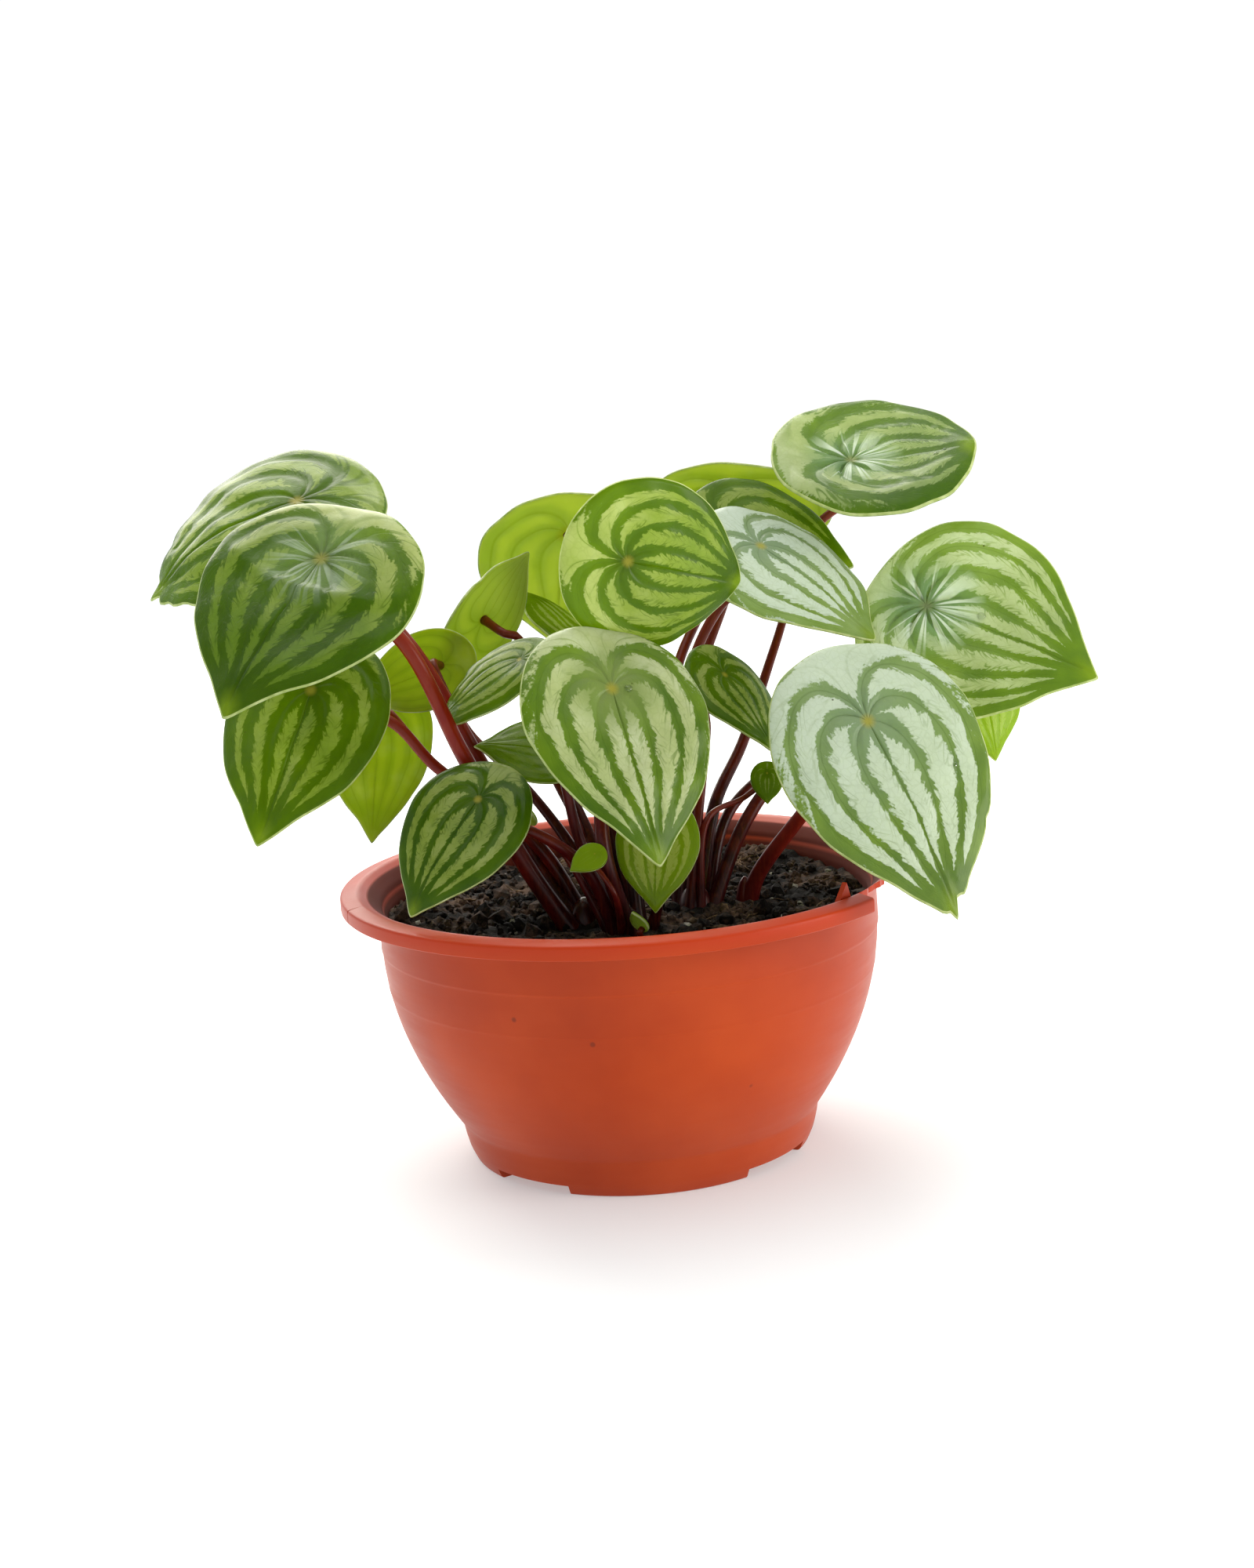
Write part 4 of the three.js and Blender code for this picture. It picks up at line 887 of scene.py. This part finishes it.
def turned(profile, sides):
    """Points and faces of a profile turned about the upright axis. It starts and ends on the axis."""
    points = [(0.0, 0.0, profile[0][1])]
    for radius, height in profile[1:-1]:
        points += [(*polar(radius, 360 * side / sides), height) for side in range(sides)]
    points.append((0.0, 0.0, profile[-1][1]))
    last = len(points) - 1
    faces = []
    for side in range(sides):
        following = (side + 1) % sides
        faces.append((0, 1 + following, 1 + side))
        for first in range(1, last - sides, sides):
            a, b = first + side, first + following
            faces.append((a, b, b + sides, a + sides))
        faces.append((last, last - sides + side, last - sides + following))
    return np.array(points), faces


def block(name, plan, low, high):
    """An upright prism, used to cut the pot."""
    count = len(plan)
    points = [(x, y, height) for height in (low, high) for x, y in plan]
    ends = [tuple(range(count))[::-1], tuple(range(count, 2 * count))]
    return make_piece(name, points, ends + ring_faces(2, count), smooth=False)


def cut(piece, cutter, operation="DIFFERENCE"):
    """Applies a Boolean cut or join and removes the tool."""
    modifier = piece.modifiers.new("cut", "BOOLEAN")
    modifier.operation = operation
    modifier.object = cutter
    modifier.solver = "EXACT"
    depsgraph = bpy.context.evaluated_depsgraph_get()
    mesh = bpy.data.meshes.new_from_object(piece.evaluated_get(depsgraph))
    piece.modifiers.clear()
    piece.data = mesh
    bpy.data.objects.remove(cutter)


def pot_profile():
    """The pot's section, from the middle of the underside out, up over the lip and back inside."""
    low_line, low_step = LOWER_LINE
    high_line, high_step = UPPER_LINE
    inner_lip = LIP_RADIUS - 1.2
    return [
        (0, FLOOR_UNDER), (FOOT_RADIUS - FOOT_WIDTH - 2, FLOOR_UNDER), (FOOT_RADIUS - FOOT_WIDTH, 0),
        (FOOT_RADIUS, 0), (FOOT_RADIUS + 1.8, 4), (FOOT_RADIUS + 2.8, 8), (ANKLE_RADIUS, ANKLE_HEIGHT),
        *[(bowl_radius(height), height) for height in np.linspace(14, 54, 12)],
        (bowl_radius(low_line), low_line), (bowl_radius(low_line + 0.6) + low_step, low_line + 0.7),
        (bowl_radius(low_line + 8), low_line + 8), (bowl_radius(high_line), high_line),
        (BELLY_RADIUS + high_step, high_line + 0.7), (BELLY_RADIUS + 0.1, high_line + 7),
        (BELLY_RADIUS, NECK_HEIGHT), (BELLY_RADIUS + 1.8, NECK_HEIGHT + 2.4),
        (BELLY_RADIUS + 5, NECK_HEIGHT + 3.9), (RIM_RADIUS - SKIRT_THICK, NECK_HEIGHT + 3.7),
        (RIM_RADIUS - SKIRT_THICK, SKIRT_LOW), (RIM_RADIUS, SKIRT_LOW), (RIM_RADIUS, RIM_HEIGHT),
        (LIP_RADIUS, LIP_HEIGHT), (inner_lip, LIP_HEIGHT - 0.4), (inner_lip - 3.2, LIP_HEIGHT - 2.2),
        (BELLY_RADIUS - 0.4, NECK_HEIGHT + 1.8), (BELLY_RADIUS - WALL_ACROSS, NECK_HEIGHT - 3),
        *[(bowl_radius(height) - WALL_ACROSS, height) for height in np.linspace(72, 14, 10)],
        (FOOT_RADIUS - 1, FLOOR_TOP + 2), (FOOT_RADIUS - 4, FLOOR_TOP), (0, FLOOR_TOP)]


def open_foot(piece):
    """Cuts the foot ring's notches, a drain hole in the middle and one inward of each notch."""
    notches = [NOTCH_FIRST + i * 360 / NOTCH_COUNT for i in range(NOTCH_COUNT)]
    for heading in notches:
        headings = np.linspace(heading - NOTCH_SPAN / 2, heading + NOTCH_SPAN / 2, 14)
        plan = [polar(FOOT_RADIUS + 6, h) for h in headings]
        plan += [polar(FOOT_RADIUS - FOOT_WIDTH - 4, h) for h in headings[::-1]]
        cut(piece, block("notch_tool", plan, -1, NOTCH_HEIGHT))
    for x, y in [(0, 0)] + [polar(DRAIN_CIRCLE, heading) for heading in notches]:
        circle = [polar(DRAIN_RADIUS, h) for h in range(0, 360, 15)]
        cut(piece, block("drain_tool", [(x + dx, y + dy) for dx, dy in circle], -1, FLOOR_TOP + 2))


def damage_rim(piece):
    """Breaks a stretch out of the rim, splits the rim elsewhere and leaves a torn tab standing."""
    # The broken rim ends in a torn line, with large teeth 0.9 mm deep and small ones of 0.25 mm.
    headings = np.linspace(BREAK_FROM, BREAK_TO, 22)
    plan = [polar(RIM_RADIUS + 5, h) for h in headings]
    for teeth, heading in zip(np.linspace(0, 7, len(headings)), headings[::-1]):
        torn = 0.9 * math.sin(2.3 * teeth + 0.4) + 0.25 * math.sin(9 * teeth)
        plan.append(polar(BREAK_RADIUS + torn, heading))
    cut(piece, block("break_tool", plan, NECK_HEIGHT, LIP_HEIGHT + 4))
    # The hairline crack is a wedge that is widest at the rim's outer edge.
    outer, half_crack = RIM_RADIUS + 4, CRACK_WIDTH / 2
    wedge = [(LIP_RADIUS - 1, 0.1, 0), (outer, -half_crack, 0), (outer, half_crack, 0)]
    wedge = facing(wedge, CRACK_HEADING)[:, :2]
    cut(piece, block("crack_tool", wedge, NECK_HEIGHT - 2, LIP_HEIGHT + 2))
    # The torn tab stands up from the lip as a three-sided blade, with its foot sunk in the wall.
    foot, peak = LIP_HEIGHT - 2.5, LIP_HEIGHT + TAB_RISE - 1
    tab = []
    for outward in (LIP_RADIUS - 1.4 - TAB_THICK, LIP_RADIUS - 1.4):
        tab += [(outward, -4, foot), (outward, 4, foot), (outward, 1.5, peak)]
    tab_faces = [(0, 2, 1), (3, 4, 5), (0, 1, 4, 3), (1, 2, 5, 4), (2, 0, 3, 5)]
    cut(piece, make_piece("tab_tool", facing(tab, TAB_HEADING), tab_faces, smooth=False), "UNION")


def pot():
    """The bowl pot, with its moulded lines, foot notches, drain holes and damaged rim."""
    points, faces = turned(round_corners(pot_profile(), CORNER_ROUND), 160)
    plastic = new_material("polypropylene_moulded_terracotta", pot_plastic)
    piece = make_piece("pot_bowl", points, faces, [plastic])
    open_foot(piece)
    damage_rim(piece)
    for polygon in piece.data.polygons:
        polygon.use_smooth = True
    piece.data.set_sharp_from_angle(angle=math.radians(32))
    dress(piece, "pot", "pot")


def soil_height(x, y):
    """The soil's surface: nearly level, banked up against the wall at two places, and rippled."""
    ripple = np.sin(x / 7.3 + 1) * np.sin(y / 6.1) + 0.6 * np.sin(x / 3.9 - y / 4.7)
    height = SOIL_LEVEL + SOIL_RIPPLE * ripple
    for bank_x, bank_y, rise, spread in SOIL_BANKS:
        height = height + rise * hill(np.hypot(x - bank_x, y - bank_y), spread)
    return height


def soil(peat):
    """The body of potting soil that fills the bowl, with a lumpy top."""
    draw = np.random.default_rng(7)
    inset = WALL_ACROSS + SOIL_CLEARANCE
    lowest = FLOOR_TOP + SOIL_CLEARANCE
    profile = [(0, lowest), (FOOT_RADIUS - 4.5, lowest), (FOOT_RADIUS - 1.6, lowest + 2.2)]
    profile += [(bowl_radius(height) - inset, height) for height in np.linspace(14, 72, 8)]
    profile += [(share * (BELLY_RADIUS - inset), SOIL_LEVEL) for share in np.linspace(1, 0.02, 70)]
    points, faces = turned(profile + [(0, SOIL_LEVEL)], 220)
    top = points[:, 2] > SOIL_LEVEL - 1
    x, y = points[top, 0], points[top, 1]
    points[top, 2] = soil_height(x, y)
    for size in LUMP_SIZES:
        for _ in range(6):
            angle, phase = draw.uniform(0, 2 * math.pi, 2)
            across = x * math.cos(angle) + y * math.sin(angle)
            points[top, 2] += size * LUMP_STEEPNESS * np.sin(across * 2 * math.pi / size + phase)
    dress(make_piece("soil_body", points, faces, [peat]), "soil", "soil")


def clear_of_crowns(x, y):
    """True where the soil is open, away from the crowns."""
    crowns = [crown for crown, *_ in SHOOTS.values()]
    return all(math.hypot(x - middle_x, y - middle_y) > radius + 2 for middle_x, middle_y, radius in crowns)


def random_place(draw, reach):
    """A place on the soil, drawn evenly over a disc."""
    heading, out = draw.uniform(0, 2 * math.pi), reach * math.sqrt(draw.uniform(0, 1))
    return out * math.cos(heading), out * math.sin(heading)


def scattered_lumps(name, material, count, sizes, seed):
    """Loose lumps lying on the soil, each a small squashed and dented icosahedron."""
    draw = np.random.default_rng(seed)
    golden = (1 + math.sqrt(5)) / 2
    corners = [np.roll((a, b * golden, 0), turn) for turn in range(3) for b in (1, -1) for a in (-1, 1)]
    corners = np.array(corners)
    # Its edges are 2 long, and a face is three corners that are each an edge apart.
    faces = [trio for trio in combinations(range(12), 3)
             if all(np.linalg.norm(corners[a] - corners[b]) < 2.1 for a, b in combinations(trio, 2))]
    faces = [trio if np.linalg.det(corners[list(trio)]) > 0 else trio[::-1] for trio in faces]
    corners = corners / math.hypot(1, golden)
    lumps = []
    for _ in range(count):
        x, y = random_place(draw, LITTER_REACH)
        size = draw.uniform(*sizes)
        shape = corners * draw.uniform(0.7, 1.25, (12, 1)) * size * draw.uniform(0.6, 1.2, 3)
        spin = Matrix.Rotation(draw.uniform(0, 6.28), 3, Vector(draw.normal(size=3)).normalized())
        if clear_of_crowns(x, y):
            lumps.append((shape @ np.array(spin) + (x, y, soil_height(x, y) + size * 0.25), faces))
    dress(make_piece(name, *joined(lumps), [material], smooth=False), "soil")


def soil_fibres(material):
    """Dry root fibres and bark slivers, lying loose on the soil."""
    draw = np.random.default_rng(31)
    fibres = []
    for _ in range(FIBRE_COUNT):
        x, y = random_place(draw, FIBRE_START)
        way, bend = draw.uniform(0, 2 * math.pi), draw.uniform(-0.35, 0.35)
        length = draw.uniform(4, 15)
        route = []
        for step in range(7):
            route.append((x, y, soil_height(x, y) + 0.5 + 0.7 * draw.uniform(-0.3, 1)))
            x += length / 6 * math.cos(way)
            y += length / 6 * math.sin(way)
            way += bend
        if all(clear_of_crowns(px, py) and math.hypot(px, py) < FIBRE_REACH for px, py, _ in route):
            radii = draw.uniform(0.14, 0.36) * np.array([0.5, 0.9, 1, 1, 1, 0.8, 0.3])
            fibres.append(tube(np.array(route), radii, 5))
    dress(make_piece("soil_fibres", *joined(fibres), [material]), "soil")


def dew_drops(water):
    """A few drops of water that stand on the blades: flattened beads, sunk a little into the wax."""
    by_node = {leaf["node"]: leaf for leaf in leaves}
    tilts = np.linspace(0, math.pi, 9)
    drops = []
    for node, along, across, radius in DEW:
        leaf = by_node[node]
        spot = leaf, np.array(along), np.array(across)
        normal = blade_normal(*spot)
        side = np.cross(normal, (1.0, 0.2, 0.1))
        side /= np.linalg.norm(side)
        profile = [(radius * math.sin(tilt), -DROP_FLATNESS * radius * math.cos(tilt)) for tilt in tilts]
        bead, faces = turned(profile, 18)
        bead = bead @ np.stack([side, np.cross(normal, side), normal])
        bead = bead + blade_point(*spot) + normal * (BLADE_THICK / 2 + DROP_SEAT)
        drops.append((bead @ leaf_axes(leaf) + leaf["at"], faces))
    dress(make_piece("dew_drops", *joined(drops), [water]), "leaf")


def studio():
    """White paper floor, white surround and soft lamps, round the middle of the plant."""
    half = 3000
    corners = [(-half, -half, 0), (half, -half, 0), (half, half, 0), (-half, half, 0)]
    paper = new_material("background_paper_matt_white", studio_paper)
    floor = make_piece("floor_paper", corners, [(0, 1, 2, 3)], [paper], smooth=False)
    # The surround is brightest behind the plant, and even and white low down, where it meets the paper.
    world = bpy.data.worlds.new("white_surround")
    world.use_nodes = True
    add = partial(add_node, world.node_tree)
    _, rearward, upward = add("SeparateXYZ", add("TexCoord", output="Generated")).node.outputs
    overhead = add("MapRange", rearward, -1.0, 0.9, 0.2, 1.0)
    level = add("Mix", {0: add("MapRange", upward, 0.22, 0.45), 2: 1.04, 3: overhead})
    background = world.node_tree.nodes["Background"].inputs
    world.node_tree.links.new(level, background["Strength"])
    background["Color"].default_value = linear("#ffffff")
    bpy.context.scene.world = world
    # Each lamp's name, place, width, power in watts and colour.
    lamps = [
        ("window_behind", (-300, 850, 850), 1000, 17, "#fff9ee"),
        ("overhead_soft", (0, -50, 1100), 1000, 5, "#fffaf0"),
        ("front_right_fill", (900, -350, 320), 500, 5, "#fff8f0"),
    ]
    middle = Vector((0, 0, 130)) * MM
    for name, place, width, watts, colour in lamps:
        lamp = bpy.data.lights.new(name, "AREA")
        lamp.size = width * MM
        lamp.energy = watts
        lamp.color = linear(colour)[:3]
        holder = bpy.data.objects.new(name, lamp)
        holder.location = Vector(place) * MM
        holder.rotation_euler = (middle - holder.location).to_track_quat("-Z", "Y").to_euler()
        bpy.context.scene.collection.objects.link(holder)
    bpy.context.scene.view_settings.view_transform = "Standard"


def camera():
    """The camera, solved from the ellipses of the pot's rim, belly and foot."""
    stand, pitch, yaw, roll = (0, -700, 249.5), math.radians(10.84), math.radians(0.16), math.radians(-3.54)
    focal_px, frame_px, sensor_mm = 2904, 2000, 36
    ahead = np.array([math.sin(yaw) * math.cos(pitch), math.cos(yaw) * math.cos(pitch), -math.sin(pitch)])
    right = np.cross(ahead, (0, 0, 1))
    right /= np.linalg.norm(right)
    up = np.cross(right, ahead)
    right, up = right * math.cos(roll) + up * math.sin(roll), up * math.cos(roll) - right * math.sin(roll)
    lens = bpy.data.cameras.new("portrait_camera")
    lens.sensor_width = sensor_mm
    lens.lens = focal_px / frame_px * sensor_mm
    lens.clip_start = 0.01
    holder = bpy.data.objects.new("portrait_camera", lens)
    placement = Matrix(np.stack([right, up, -ahead], -1).tolist()).to_4x4()
    placement.translation = Vector(stand) * MM
    holder.matrix_world = placement
    bpy.context.scene.collection.objects.link(holder)
    bpy.context.scene.camera = holder


leaves = [{**TYPICAL_LEAF, "seed": number, **leaf} for number, leaf in enumerate(LEAVES)]
camera()
studio()
skins = [
    new_material("leaf_skin_waxy_upper", leaf_upper_skin),
    new_material("leaf_skin_matt_under", leaf_under_skin),
    new_material("leaf_margin_clear", leaf_margin_skin)]
for leaf in leaves:
    leaf_blade(leaf, skins)
for name in SHOOTS:
    shoot(name)
pot()
peat = new_material("peat_damp_crumbled", crumbly, "#0b0706", "#5c4639")
grit = new_material("perlite_expanded", crumbly, "#8f8a84", "#d8d4cc")
bark = new_material("bark_composted", crumbly, "#22160d", "#715c46")
fibre = new_material("root_fibre_dry", crumbly, "#1c130d", "#7a6248")
soil(peat)
scattered_lumps("soil_crumbs", peat, 1500, (0.5, 1.9), 11)
scattered_lumps("soil_grit", grit, 70, (0.4, 1.3), 23)
scattered_lumps("soil_clods", peat, 60, (2.4, 4.0), 5)
scattered_lumps("soil_bark", bark, 160, (0.6, 2.0), 41)
soil_fibres(fibre)
dew_drops(new_material("water_clear", dew_water))
